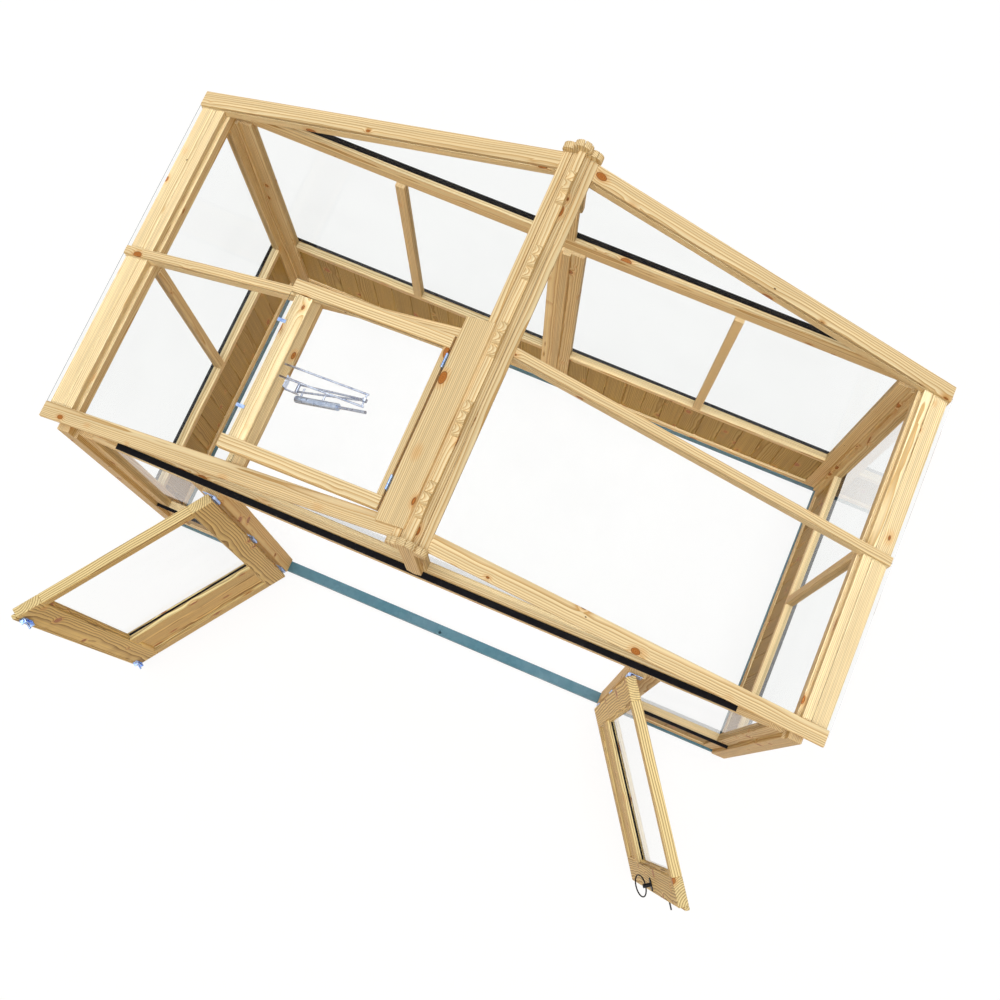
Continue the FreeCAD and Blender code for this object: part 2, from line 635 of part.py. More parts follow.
# Rafters, caps over the glass edges and eave boards
GABLE_RAFTER = sub(S["gable_width"], S["cap_overhang"])
RAFTER_ROWS = [
    ("front", GABLE_FRONT, S["gable_width"], add(GABLE_FRONT, S["cap_overhang"]), GABLE_RAFTER),
    ("middle", MID_FRONT, S["mid_width"], MID_FRONT, S["mid_width"]),
    ("back", GABLE_BACK, S["gable_width"], GABLE_BACK, GABLE_RAFTER),
]
rafters = []
caps = []
for row, start, width, rafter_start, rafter_width in RAFTER_ROWS:
    for side in SIDES:
        name = "%s_%s" % (row, side)
        rafter = slope_piece("rafter_" + name, side, RIDGE_HALF, EAVE, RAFTER_LOW, GLASS_LOW, rafter_start,
                             rafter_width)
        rafters.append(rafter)
        cap = slope_piece("cap_" + name, side, S["ridge_cap_reach"], EAVE, GLASS_TOP, "0", start, width)
        caps.append(cap)
node(group("rafter_group", rafters), "rafters")
node(group("cap_group", caps), "rafter_caps")
eave_pieces = []
board_low = sub(GLASS_LOW, S["eave_board_depth"])
filler_outer = sub(WALL_HALF, S["filler_inset"])
filler_inner = sub(filler_outer, S["filler_width"])
board_outer = sub(EAVE, S["eave_board_inset"])
board_inner = sub(board_outer, S["eave_board_width"])
for side in SIDES:
    for bay, start in (("front", GABLE_INNER), ("back", MID_BACK)):
        name = "%s_%s" % (side, bay)
        eave_pieces += [
            slope_piece("filler_" + name, side, filler_inner, filler_outer, RAFTER_LOW, GLASS_LOW, start,
                        BAY),
            slope_piece("board_" + name, side, board_inner, board_outer, board_low, GLASS_LOW, start, BAY),
        ]
node(group("eave_group", eave_pieces), "eave_boards")

# Ridge beam, ridge caps, crest and finials
RIDGE_TOP = roof_z(CREST_HALF, GLASS_LOW)
ridge_corners = [
    (RIDGE_HALF, RIDGE_LOW),
    (RIDGE_HALF, roof_z(RIDGE_HALF, GLASS_LOW)),
    (CREST_HALF, RIDGE_TOP),
    (minus(CREST_HALF), RIDGE_TOP),
    (minus(RIDGE_HALF), roof_z(RIDGE_HALF, GLASS_LOW)),
    (minus(RIDGE_HALF), RIDGE_LOW),
]
node(prism("ridge", ridge_corners, GABLE_FRONT, ROOF_LENGTH), "ridge_beam")
ridge_caps = []
for side in SIDES:
    ridge_caps.append(slope_piece("ridge_cap_" + side, side, CREST_HALF, S["ridge_cap_reach"], GLASS_TOP, "0",
                                  GABLE_FRONT, ROOF_LENGTH))
node(group("ridge_cap_pair", ridge_caps), "ridge_caps")
crest_start = (minus(CREST_HALF), GABLE_FRONT, RIDGE_TOP)
crest_members = [box("crest_board", crest_start, (S["crest_thick"], ROOF_LENGTH, S["crest_height"]))]
CREST_TOP = add(RIDGE_TOP, S["crest_height"])
LOBE_GROUPS = 5
LOBES = (("a", minus(S["lobe_gap"]), "0"), ("b", "0", S["lobe_rise"]), ("c", S["lobe_gap"], "0"))
for number in range(LOBE_GROUPS):
    middle = add(GABLE_FRONT, "%s * %d / %d" % (ROOF_LENGTH, 2 * number + 1, 2 * LOBE_GROUPS))
    for lobe, shift, rise in LOBES:
        start = (minus(CREST_HALF), add(middle, shift), add(CREST_TOP, rise))
        name = "lobe_%d_%s" % (number + 1, lobe)
        crest_members.append(rod(name, "x", start, S["crest_thick"], S["lobe_radius"]))
node(fuse("crest", crest_members), "ridge_crest")
FINIAL_FRONT = sub(GABLE_FRONT, S["finial_thick"])
FINIAL_BACK = add(DEPTH, S["gable_reach"])
FINIAL_HALF = half(S["finial_width"])
FINIAL_HEAD = sub(APEX, S["finial_sink"])
FINIAL_LOW = sub(FINIAL_HEAD, S["finial_drop"])
finial_corners = [
    (FINIAL_HALF, FINIAL_LOW),
    (FINIAL_HALF, FINIAL_HEAD),
    (minus(FINIAL_HALF), FINIAL_HEAD),
    (minus(FINIAL_HALF), FINIAL_LOW),
    ("0", sub(FINIAL_LOW, FINIAL_HALF)),
]
for row, start in (("front", FINIAL_FRONT), ("back", FINIAL_BACK)):
    members = [prism("finial_board_" + row, finial_corners, start, S["finial_thick"])]
    lobes = [
        ("left", minus(S["finial_spread"]), FINIAL_HEAD),
        ("right", S["finial_spread"], FINIAL_HEAD),
        ("top", "0", add(FINIAL_HEAD, S["finial_rise"])),
    ]
    for lobe, across, high in lobes:
        name = "finial_%s_%s" % (row, lobe)
        members.append(rod(name, "y", (across, start, high), S["finial_thick"], S["finial_radius"]))
    node(fuse("finial_solid_" + row, members), "finial_" + row)

# Roof glass, header and trimmer
PANE_FRONT = sub(GABLE_INNER, S["glass_ledge"])
PANE_WIDTH = sub(MIDDLE, PANE_FRONT, half(S["pane_gap"]))
PANE_BACK = add(MIDDLE, half(S["pane_gap"]))
GLASS_INNER = add(CREST_HALF, S["pane_gap"])
GLASS_EDGE = add(EAVE, S["glass_drip"])
for side in SIDES:
    front_inner = S["lower_pane_start"] if side == "left" else GLASS_INNER
    pieces = [
        slope_piece("roof_pane_front_" + side, side, front_inner, GLASS_EDGE, GLASS_LOW, GLASS_TOP,
                    PANE_FRONT, PANE_WIDTH),
        slope_piece("roof_pane_back_" + side, side, GLASS_INNER, GLASS_EDGE, GLASS_LOW, GLASS_TOP,
                    PANE_BACK, PANE_WIDTH),
    ]
    node(group("roof_panes_" + side, pieces), "roof_glass_" + side)
trim_pieces = [
    slope_piece("vent_header", "left", S["header_inner"], S["header_outer"], RAFTER_LOW, "0",
                GABLE_INNER, BAY),
    slope_piece("vent_sill", "left", S["trimmer_inner"], S["trimmer_outer"], RAFTER_LOW, GLASS_LOW,
                GABLE_INNER, BAY),
]
node(group("trimmer_pair", trim_pieces), "vent_trimmers")

# Doors, drawn closed about their hinge axis and then turned open
DOOR_LOW = add(BASE_TOP, S["door_floor_gap"])
DOOR_TOP = add(S["head_height"], S["door_head_lap"])
DOOR_HIGH = sub(DOOR_TOP, DOOR_LOW)
GLASS_FOOT = add(S["door_mid_height"], S["door_mid_rail"])
GLASS_HEAD = sub(DOOR_TOP, S["door_top_rail"])
PANEL_FOOT = add(DOOR_LOW, S["door_bottom_rail"])
STILE_END = add(S["door_edge"], S["door_stile"])
MEETING_OUTER = sub(DOOR_AXIS, S["door_lap"], S["lap_gap"])
MEETING_STILE = sub(MEETING_OUTER, S["meeting_stile"])
DOOR_CLEAR = sub(MEETING_STILE, STILE_END)
LAP_LENGTH = sub(CLOSING, MEETING_OUTER)
SPINDLE_ALONG = sub(CLOSING, S["handle_inset"])


def leaf_box(name, side, along, deep, low, length, thick, high):
    """Block in a door: from the hinge axis along the door, behind the axis and up."""
    start = along if side == "left" else minus(add(along, length))
    return box(name, (start, deep, low), (length, thick, high))


def leaf_rod(name, side, axis, along, deep, low, length, radius):
    """Round bar in a door, upright or through its thickness."""
    start = along if side == "left" else minus(along)
    return rod(name, axis, (start, deep, low), length, radius)


def hang(name, side, members):
    """Group finished door pieces and open them about the hinge axis."""
    item = group(name, members)
    angle = minus(S["door_open"]) if side == "left" else S["door_open"]
    turn(item, Z_AXIS, angle, (sided(side, DOOR_AXIS), AXIS_Y, "0"))
    return item


THIRD = "(%s / 3)" % S["hinge_height"]
HINGE_CENTRES = [
    ("low", add(DOOR_LOW, S["hinge_inset"])),
    ("middle", half(add(DOOR_LOW, DOOR_TOP))),
    ("high", sub(DOOR_TOP, S["hinge_inset"])),
]
TAB_HALF = half(S["leaf_thick"])
EDGE_LEAF = sub(S["door_edge"], S["leaf_thick"])
TAB_END = add(S["knuckle_radius"], S["leaf_thick"])
fixed_hinges = []
for side in SIDES:
    face = DOOR_FACE
    thick = S["door_thick"]
    lap_deep = "0" if side == "left" else face
    lap_thick = HALF_THICK if side == "left" else sub(HALF_THICK, S["lap_gap"])
    lap_reach = LAP_LENGTH if side == "left" else sub(LAP_LENGTH, times("2", S["lap_gap"]))
    low = DOOR_LOW
    stile = leaf_box(side + "_meeting_stile", side, MEETING_STILE, face, low, S["meeting_stile"], thick,
                     DOOR_HIGH)
    lap = leaf_box(side + "_meeting_lap", side, MEETING_OUTER, lap_deep, low, lap_reach, lap_thick, DOOR_HIGH)
    meeting = fuse(side + "_meeting_solid", [stile, lap])
    if side == "right":
        room = add(S["spindle_radius"], S["spindle_room"])
        bore = leaf_rod("spindle_bore", side, "y", SPINDLE_ALONG, face, S["handle_height"], thick, room)
        meeting = cut("right_meeting_drilled", meeting, bore)
    members = [
        leaf_box(side + "_hinge_stile", side, S["door_edge"], face, low, S["door_stile"], thick, DOOR_HIGH),
        meeting,
        leaf_box(side + "_top_rail", side, STILE_END, face, GLASS_HEAD, DOOR_CLEAR, thick,
                 S["door_top_rail"]),
        leaf_box(side + "_middle_rail", side, STILE_END, face, S["door_mid_height"], DOOR_CLEAR, thick,
                 S["door_mid_rail"]),
        leaf_box(side + "_bottom_rail", side, STILE_END, face, low, DOOR_CLEAR, thick, S["door_bottom_rail"]),
    ]
    node(hang(side + "_door_group", side, members), side + "_door_frame")
    panel_deep = add(face, half(sub(thick, S["door_panel"])))
    panel = leaf_box(side + "_panel", side, STILE_END, panel_deep, PANEL_FOOT, DOOR_CLEAR, S["door_panel"],
                     sub(S["door_mid_height"], PANEL_FOOT))
    node(hang(side + "_panel_group", side, [panel]), side + "_door_panel")
    pane_deep = add(face, S["door_glass_set"])
    pane = leaf_box(side + "_pane", side, STILE_END, pane_deep, GLASS_FOOT, DOOR_CLEAR, S["glass_thick"],
                    sub(GLASS_HEAD, GLASS_FOOT))
    node(hang(side + "_pane_group", side, [pane]), side + "_door_glass")
    moving_hinges = []
    for level, centre in HINGE_CENTRES:
        name = "%s_%s" % (side, level)
        foot = sub(centre, half(S["hinge_height"]))
        knuckle_foot = add(foot, THIRD, S["knuckle_play"])
        knuckle_high = sub(THIRD, times("2", S["knuckle_play"]))
        moving = fuse(name + "_moving", [
            leaf_box(name + "_leaf", side, EDGE_LEAF, minus(S["hinge_edge_leaf"]), foot, S["leaf_thick"],
                     add(S["hinge_edge_leaf"], TAB_HALF), S["hinge_height"]),
            leaf_box(name + "_tab", side, "0", minus(TAB_HALF), knuckle_foot, S["door_edge"], S["leaf_thick"],
                     knuckle_high),
            leaf_rod(name + "_knuckle", side, "z", "0", "0", knuckle_foot, knuckle_high, S["knuckle_radius"]),
        ])
        pin_room = add(S["pin_radius"], S["pin_play"])
        bore = leaf_rod(name + "_bore", side, "z", "0", "0", foot, S["hinge_height"], pin_room)
        moving_hinges.append(cut(name + "_bored", moving, bore))
        axis_x = sided(side, DOOR_AXIS)
        leaf_y = sub(minus(POST_HALF), S["leaf_thick"])
        leaf_x = add(DOOR_AXIS, TAB_END)
        leaf_start = leaf_x if side == "right" else minus(add(leaf_x, S["hinge_leaf"]))
        tab_x = sub(DOOR_AXIS, S["leaf_thick"])
        tab_start = tab_x if side == "right" else minus(leaf_x)
        tab_long = sub(leaf_x, tab_x)
        leaf_extent = (S["hinge_leaf"], S["leaf_thick"], S["hinge_height"])
        pieces = [
            box(name + "_post_leaf", (leaf_start, leaf_y, foot), leaf_extent),
            rod(name + "_pin", "z", (axis_x, AXIS_Y, foot), S["hinge_height"], S["pin_radius"]),
        ]
        for end, low in (("a", foot), ("b", add(foot, THIRD, THIRD))):
            tab_extent = (tab_long, S["leaf_thick"], THIRD)
            pieces.append(box(name + "_post_tab_" + end, (tab_start, leaf_y, low), tab_extent))
            knuckle_start = (axis_x, AXIS_Y, low)
            pieces.append(rod(name + "_post_knuckle_" + end, "z", knuckle_start, THIRD, S["knuckle_radius"]))
        fixed_hinges.append(fuse(name + "_fixed", pieces))
    node(hang(side + "_hinge_group", side, moving_hinges), side + "_door_hinges")

# Bolts at the free corner of the left door
PLATE_ALONG = sub(BOLT_ALONG, half(S["bolt_plate"]))
HIGH_TIP = sub(HEAD_LOW, S["bolt_clearance"])
LOW_TIP = add(BASE_TOP, S["bolt_clearance"], half(S["bolt_clearance"]))
PLATE_MARGIN = half(sub(S["bolt_length"], S["bolt_plate_length"]))
GUIDE_DEEP = add(DOOR_INNER, S["leaf_thick"])
GUIDE_THICK = times("2", sub(S["bolt_stand"], S["leaf_thick"]))
plates = []
for level, foot in (("top", sub(HIGH_TIP, S["bolt_length"])), ("bottom", LOW_TIP)):
    plate_foot = add(foot, PLATE_MARGIN)
    plate = leaf_box(level + "_plate", "left", PLATE_ALONG, DOOR_INNER, plate_foot, S["bolt_plate"],
                     S["leaf_thick"], S["bolt_plate_length"])
    members = [plate]
    plate_end = sub(add(plate_foot, S["bolt_plate_length"]), S["bolt_guide"])
    for end, low in (("a", plate_foot), ("b", plate_end)):
        guide = leaf_box("%s_guide_%s" % (level, end), "left", PLATE_ALONG, GUIDE_DEEP, low, S["bolt_plate"],
                         GUIDE_THICK, S["bolt_guide"])
        members.append(guide)
    solid = fuse(level + "_plate_solid", members)
    bore = leaf_rod(level + "_plate_bore", "left", "z", BOLT_ALONG, BOLT_DEEP, foot, S["bolt_length"],
                    add(S["bolt_radius"], S["pin_play"]))
    plates.append(cut(level + "_plate_bored", solid, bore))
    shaft = leaf_rod(level + "_shaft", "left", "z", BOLT_ALONG, BOLT_DEEP, foot, S["bolt_length"],
                     S["bolt_radius"])
    knob_height = add(foot, half(S["bolt_length"]))
    knob = leaf_rod(level + "_knob", "left", "y", BOLT_ALONG, BOLT_DEEP, knob_height, S["knob_length"],
                    S["knob_radius"])
    bolt = fuse(level + "_bolt_solid", [shaft, knob])
    node(hang(level + "_bolt_group", "left", [bolt]), "left_%s_bolt" % level)
node(hang("plate_group", "left", plates), "left_bolt_plates")

# Ring handle inside the right door, latch bar outside it and rosettes on both faces
ROSETTE_FRONT = sub(DOOR_FACE, S["rosette_thick"])
BOSS_FRONT = sub(ROSETTE_FRONT, S["rosette_gap"], S["latch_boss"])
BOSS_BACK = add(DOOR_INNER, S["rosette_thick"], S["rosette_gap"])
BOSS_END = add(BOSS_BACK, S["boss_length"])
spindle_long = sub(BOSS_END, BOSS_FRONT)
spindle = leaf_rod("spindle", "right", "y", SPINDLE_ALONG, BOSS_FRONT, S["handle_height"], spindle_long,
                   S["spindle_radius"])
ring = doc.addObject("Part::Torus", "ring")
ring.setExpression("Radius1", S["ring_radius"])
ring.setExpression("Radius2", S["ring_wire"])
ring_out = times(S["ring_radius"], "sin(%s * 1deg)" % S["ring_tilt"])
ring_down = times(S["ring_radius"], "cos(%s * 1deg)" % S["ring_tilt"])
ring_deep = add(sub(BOSS_END, S["ring_inset"]), ring_out)
ring_start = (minus(SPINDLE_ALONG), ring_deep, sub(S["handle_height"], ring_down))
turn(ring, X_AXIS, sub(S["ring_tilt"], "90"), ring_start)
latch_deep = sub(DOOR_FACE, S["latch_stand"], S["latch_thick"])
latch_low = sub(S["handle_height"], half(S["latch_height"]))
latch = leaf_box("latch_bar", "right", sub(SPINDLE_ALONG, S["latch_back"]), latch_deep, latch_low,
                 add(S["latch_back"], S["latch_reach"]), S["latch_thick"], S["latch_height"])
handle_members = [spindle, ring, latch]
rosettes = []
HANDLE_FACES = [
    ("front", BOSS_FRONT, S["latch_boss"], ROSETTE_FRONT),
    ("back", BOSS_BACK, S["boss_length"], DOOR_INNER),
]
for face, boss_start, boss_long, rosette_start in HANDLE_FACES:
    boss = leaf_rod("boss_" + face, "right", "y", SPINDLE_ALONG, boss_start, S["handle_height"], boss_long,
                    S["boss_radius"])
    handle_members.append(boss)
    disc = leaf_rod("disc_" + face, "right", "y", SPINDLE_ALONG, rosette_start, S["handle_height"],
                    S["rosette_thick"], S["rosette_radius"])
    hole = leaf_rod("disc_hole_" + face, "right", "y", SPINDLE_ALONG, rosette_start, S["handle_height"],
                    S["rosette_thick"], add(S["spindle_radius"], S["pin_play"]))
    rosettes.append(cut("rosette_" + face, disc, hole))
handle = fuse("handle_solid", handle_members)
node(hang("handle_group", "right", [handle]), "right_ring_handle")
node(hang("rosette_group", "right", rosettes), "right_rosettes")

# Roof vent, drawn level about its hinge axis and then turned open
AXIS_X = minus(S["vent_axis_reach"])
AXIS_Z = roof_z(S["vent_axis_reach"], S["vent_axis_rise"])
VENT_SLOPE = sub(S["pitch"], S["vent_open"])
VENT_FRONT = add(GABLE_INNER, S["vent_side_gap"])
VENT_WIDTH = sub(BAY, times("2", S["vent_side_gap"]))
VENT_LOW = minus(add(S["vent_drop"], S["vent_thick"]))


def vent_box(name, along, across, low, length, width, high):
    """Block in the vent: from the axis down the slope, from the front and up from the axis."""
    return box(name, (minus(add(along, length)), across, low), (length, width, high))


def tilt(name, members):
    """Group finished vent pieces and open them about the hinge axis."""
    item = group(name, members)
    turn(item, Y_AXIS, minus(VENT_SLOPE), (AXIS_X, "0", AXIS_Z))
    return item


def on_roof(name, members):
    """Group pieces drawn level about the vent's axis and lay them along the roof."""
    item = group(name, members)
    turn(item, Y_AXIS, minus(S["pitch"]), (AXIS_X, "0", AXIS_Z))
    return item


HINGE_GAP = add(S["vent_leaf_gap"], S["leaf_thick"])
ROOF_UNDER = minus(S["vent_axis_rise"])
vent_board_start = add(GABLE_FRONT, S["vent_board_inset"])
vent_board_length = sub(add(MID_BACK, S["vent_board_overhang"]), vent_board_start)
vent_board_far = minus(add(HINGE_GAP, S["vent_board_width"]))
hinge_board = vent_box("hinge_board", vent_board_far, vent_board_start, ROOF_UNDER, S["vent_board_width"],
                       vent_board_length, S["cap_thick"])
node(on_roof("vent_board_group", [hinge_board]), "vent_board")
rail = S["vent_rail"]
inner_width = sub(VENT_WIDTH, times("2", rail))
inner_front = add(VENT_FRONT, rail)
free_rail = sub(S["vent_length"], S["vent_overhang"], S["vent_free_rail"])
rail_long = sub(S["vent_length"], HINGE_GAP)
thick = S["vent_thick"]
free_high = sub(thick, S["vent_glass_set"], S["glass_thick"])
hinge_rail_end = add(HINGE_GAP, S["vent_hinge_rail"])
back_rail = add(inner_front, inner_width)
vent_members = [
    vent_box("vent_rail_front", HINGE_GAP, VENT_FRONT, VENT_LOW, rail_long, rail, thick),
    vent_box("vent_rail_back", HINGE_GAP, back_rail, VENT_LOW, rail_long, rail, thick),
    vent_box("vent_rail_free", free_rail, inner_front, VENT_LOW, S["vent_free_rail"], inner_width, free_high),
    vent_box("vent_rail_hinge", HINGE_GAP, inner_front, VENT_LOW, S["vent_hinge_rail"], inner_width, thick),
]
node(tilt("vent_group", vent_members), "vent_frame")
vent_pane_low = add(VENT_LOW, free_high)
vent_pane_long = sub(S["vent_length"], hinge_rail_end)
vent_pane = vent_box("vent_pane", hinge_rail_end, inner_front, vent_pane_low, vent_pane_long, inner_width,
                     S["glass_thick"])
node(tilt("vent_pane_group", [vent_pane]), "vent_glass")

# Vent hinges: fixed halves on the edge of the vent board, moving halves on the end of the vent
VENT_THIRD = "(%s / 3)" % S["vent_hinge_width"]
LEAF_TOP = add(S["vent_knuckle"], S["vent_leaf_gap"])
vent_moving = []
far_centre = sub(add(GABLE_INNER, BAY), S["vent_hinge_inset"])
for end, centre in (("front", add(GABLE_INNER, S["vent_hinge_inset"])), ("back", far_centre)):
    start = sub(centre, half(S["vent_hinge_width"]))
    middle = add(start, VENT_THIRD, S["knuckle_play"])
    middle_wide = sub(VENT_THIRD, times("2", S["knuckle_play"]))
    pieces = [
        vent_box("vent_leaf_" + end, minus(HINGE_GAP), start, ROOF_UNDER, S["leaf_thick"],
                 S["vent_hinge_width"], sub(S["vent_axis_rise"], LEAF_TOP)),
        rod("vent_pin_" + end, "y", ("0", start, "0"), S["vent_hinge_width"], S["vent_pin"]),
    ]
    for part, low in (("a", start), ("b", add(start, VENT_THIRD, VENT_THIRD))):
        name = "%s_%s" % (end, part)
        tab = vent_box("vent_tab_" + name, minus(HINGE_GAP), low, minus(LEAF_TOP), S["leaf_thick"],
                       VENT_THIRD, LEAF_TOP)
        pieces.append(tab)
        pieces.append(rod("vent_knuckle_" + name, "y", ("0", low, "0"), VENT_THIRD, S["vent_knuckle"]))
    fixed_hinges.append(on_roof("vent_fixed_group_" + end, [fuse("vent_fixed_" + end, pieces)]))
    moving = fuse("vent_moving_" + end, [
        vent_box("vent_flap_" + end, S["vent_leaf_gap"], start, minus(S["vent_flap"]), S["leaf_thick"],
                 S["vent_hinge_width"], sub(S["vent_flap"], LEAF_TOP)),
        vent_box("vent_flap_tab_" + end, S["vent_leaf_gap"], middle, minus(LEAF_TOP), S["leaf_thick"],
                 middle_wide, LEAF_TOP),
        rod("vent_turn_" + end, "y", ("0", middle, "0"), middle_wide, S["vent_knuckle"]),
    ])
    pin_room = add(S["vent_pin"], S["pin_play"])
    bore = rod("vent_bore_" + end, "y", ("0", start, "0"), S["vent_hinge_width"], pin_room)
    vent_moving.append(cut("vent_bored_" + end, moving, bore))
node(group("fixed_hinge_group", fixed_hinges), "hinges_fixed")
node(tilt("vent_hinge_group", vent_moving), "vent_hinges")

# Vent opener: bracket on the trimmer, lower arm with cylinder, piston, upper arm on the vent bracket
CENTRE = S["opener_place"]
FOOT_REACH = sub(S["trimmer_inner"], S["foot_reach"])
FOOT_X = minus(FOOT_REACH)
FOOT_Z = roof_z(FOOT_REACH, minus(S["foot_drop"]))
FOOT_LUG = add(S["foot_half"], S["lug_gap"])
FOOT_SIDE = add(FOOT_LUG, S["lug_thick"])
lug_low = sub(FOOT_Z, S["lug_half"])
lug_high = add(S["lug_half"], S["sleeve_radius"])
lug_long = add(S["foot_reach"], S["lug_half"])
trimmer_face = minus(S["trimmer_inner"])
plate_high = add(S["lug_half"], S["rafter_depth"], minus(S["sleeve_radius"]))
foot_members = [
    box("foot_plate", (trimmer_face, sub(CENTRE, FOOT_SIDE), lug_low),
        (S["lug_thick"], times("2", FOOT_SIDE), plate_high)),
    rod("foot_pin", "y", (FOOT_X, sub(CENTRE, FOOT_SIDE), FOOT_Z), times("2", FOOT_SIDE), S["bracket_pin"]),
]
for end, start in (("a", sub(CENTRE, FOOT_SIDE)), ("b", add(CENTRE, FOOT_LUG))):
    lug_extent = (lug_long, S["lug_thick"], lug_high)
    foot_members.append(box("foot_lug_" + end, (trimmer_face, start, lug_low), lug_extent))
node(fuse("foot_bracket", foot_members), "opener_bracket")

ARM_SLOPE = minus(add(S["pitch"], S["lower_arm_rise"]))
PIN_BORE = add(S["bracket_pin"], S["pin_play"])


def on_arm(name, members):
    """Group pieces drawn along the lower arm and raise them about its foot."""
    item = group(name, members)
    turn(item, Y_AXIS, ARM_SLOPE, (FOOT_X, CENTRE, FOOT_Z))
    return item


wire_start = sub(S["sleeve_radius"], half(S["bracket_pin"]))
wire_long = sub(S["lower_arm"], wire_start, half(add(S["eye_radius"], S["eye_bore"])))
wire_angle = "atan((%s) / (%s)) / 1deg" % (sub(S["arm_foot"], S["arm_tip"]), wire_long)
sleeve_start = ("0", minus(S["foot_half"]), "0")
eye_start = (S["lower_arm"], minus(S["eye_half"]), "0")
arm_members = [
    rod("foot_sleeve", "y", sleeve_start, times("2", S["foot_half"]), S["sleeve_radius"]),
    rod("elbow_eye", "y", eye_start, times("2", S["eye_half"]), S["eye_radius"]),
]
for end, across, angle in (("a", minus(S["arm_foot"]), wire_angle), ("b", S["arm_foot"], minus(wire_angle))):
    wire = group("wire_turned_" + end, [rod("wire_" + end, "x", ("0", "0", "0"), wire_long, S["arm_radius"])])
    turn(wire, Z_AXIS, angle, (wire_start, across, "0"))
    arm_members.append(wire)
bar_start = minus(S["cylinder_beside"])
bar_long = add(S["cylinder_beside"], S["arm_tip"])
for end, along in (("a", S["bar_first"]), ("b", S["bar_second"])):
    arm_members.append(rod("cross_bar_" + end, "y", (along, bar_start, "0"), bar_long, S["arm_radius"]))
arm_solid = fuse("arm_solid", arm_members)
foot_bore = rod("foot_bore", "y", sleeve_start, times("2", S["foot_half"]), PIN_BORE)
eye_hole = rod("eye_hole", "y", eye_start, times("2", S["eye_half"]), S["eye_bore"])
cylinder_room = rod("cylinder_room", "x", (S["cylinder_start"], bar_start, "0"), S["cylinder_length"],
                    S["cylinder_radius"])
arm_tools = fuse("arm_tools", [foot_bore, eye_hole])
arm_open = cut("arm_bored", arm_solid, arm_tools)
node(on_arm("arm_group", [cut("arm_trimmed", arm_open, cylinder_room)]), "opener_lower_arm")
barrel = rod("barrel", "x", (S["cylinder_start"], bar_start, "0"), S["cylinder_length"], S["cylinder_radius"])
barrel_floor = add(S["cylinder_start"], S["cylinder_floor"])
barrel_bore = rod("barrel_bore", "x", (barrel_floor, bar_start, "0"), S["cylinder_length"],
                  add(S["piston_radius"], S["pin_play"]))
node(on_arm("barrel_group", [cut("barrel_bored", barrel, barrel_bore)]), "opener_cylinder")
piston = rod("piston", "x", (S["piston_start"], bar_start, "0"), S["piston_length"], S["piston_radius"])
node(on_arm("piston_group", [piston]), "opener_piston")

# Upper arm and its bracket under the free rail of the vent
UPPER_SLEEVE = add(S["upper_half"], S["arm_radius"])
VENT_LUG = add(UPPER_SLEEVE, S["lug_gap"])
VENT_SIDE = add(VENT_LUG, S["lug_thick"])
lug_start = sub(S["vent_pivot"], S["lug_half"])
vent_lug_low = minus(add(S["vent_pivot_drop"], S["lug_half"]))
vent_lug_high = sub(VENT_LOW, vent_lug_low)
plate_low = sub(VENT_LOW, S["lug_thick"])
lug_size = times("2", S["lug_half"])
bracket_start = sub(CENTRE, VENT_SIDE)
bracket_wide = times("2", VENT_SIDE)
pin_start = (minus(S["vent_pivot"]), bracket_start, minus(S["vent_pivot_drop"]))
bracket_members = [
    vent_box("vent_bracket_plate", lug_start, bracket_start, plate_low, lug_size, bracket_wide,
             S["lug_thick"]),
    rod("vent_bracket_pin", "y", pin_start, bracket_wide, S["bracket_pin"]),
]
for end, start in (("a", bracket_start), ("b", add(CENTRE, VENT_LUG))):
    lug = vent_box("vent_lug_" + end, lug_start, start, vent_lug_low, lug_size, S["lug_thick"], vent_lug_high)
    bracket_members.append(lug)
node(tilt("vent_bracket_group", [fuse("vent_bracket_solid", bracket_members)]), "vent_bracket")
SLOPE_COS = "cos((%s) * 1deg)" % VENT_SLOPE
SLOPE_SIN = "sin((%s) * 1deg)" % VENT_SLOPE
PIVOT_X = add(AXIS_X, minus(times(S["vent_pivot"], SLOPE_COS)), times(S["vent_pivot_drop"], SLOPE_SIN))
PIVOT_Z = sub(AXIS_Z, times(S["vent_pivot"], SLOPE_SIN), times(S["vent_pivot_drop"], SLOPE_COS))
upper_members = [
    rod("upper_sleeve", "y", ("0", minus(UPPER_SLEEVE), "0"), times("2", UPPER_SLEEVE), S["sleeve_radius"]),
    rod("elbow_pin", "y", (S["upper_arm"], minus(S["upper_half"]), "0"), times("2", S["upper_half"]),
        S["bracket_pin"]),
]
upper_wire = add(S["upper_arm"], S["wire_tail"], minus(wire_start))
for end, across in (("a", minus(S["upper_half"])), ("b", S["upper_half"])):
    wire = rod("upper_wire_" + end, "x", (wire_start, across, "0"), upper_wire, S["arm_radius"])
    upper_members.append(wire)
upper_solid = fuse("upper_solid", upper_members)
upper_bore = rod("upper_bore", "y", ("0", minus(UPPER_SLEEVE), "0"), times("2", UPPER_SLEEVE), PIN_BORE)
upper_group = group("upper_group", [cut("upper_bored", upper_solid, upper_bore)])
turn(upper_group, Y_AXIS, sub(S["upper_arm_drop"], S["pitch"]), (PIVOT_X, CENTRE, PIVOT_Z))
node(upper_group, "opener_upper_arm")

doc.recompute()
doc.recompute()
for item in doc.Objects:
    if "Invalid" in item.State or "Error" in item.State:
        raise RuntimeError("object not built: " + item.Label)
for item in NODES:
    if item.Shape.isNull() or not item.Shape.isValid():
        raise RuntimeError("shape not valid: " + item.Label)
os.makedirs("parts", exist_ok=True)
for item in NODES:
    item.Shape.exportStep("parts/%s.step" % item.Label)
print("parts written:", len(NODES))
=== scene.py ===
"""Looks of a small timber greenhouse with two open doors and a roof vent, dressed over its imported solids."""

import json
import math

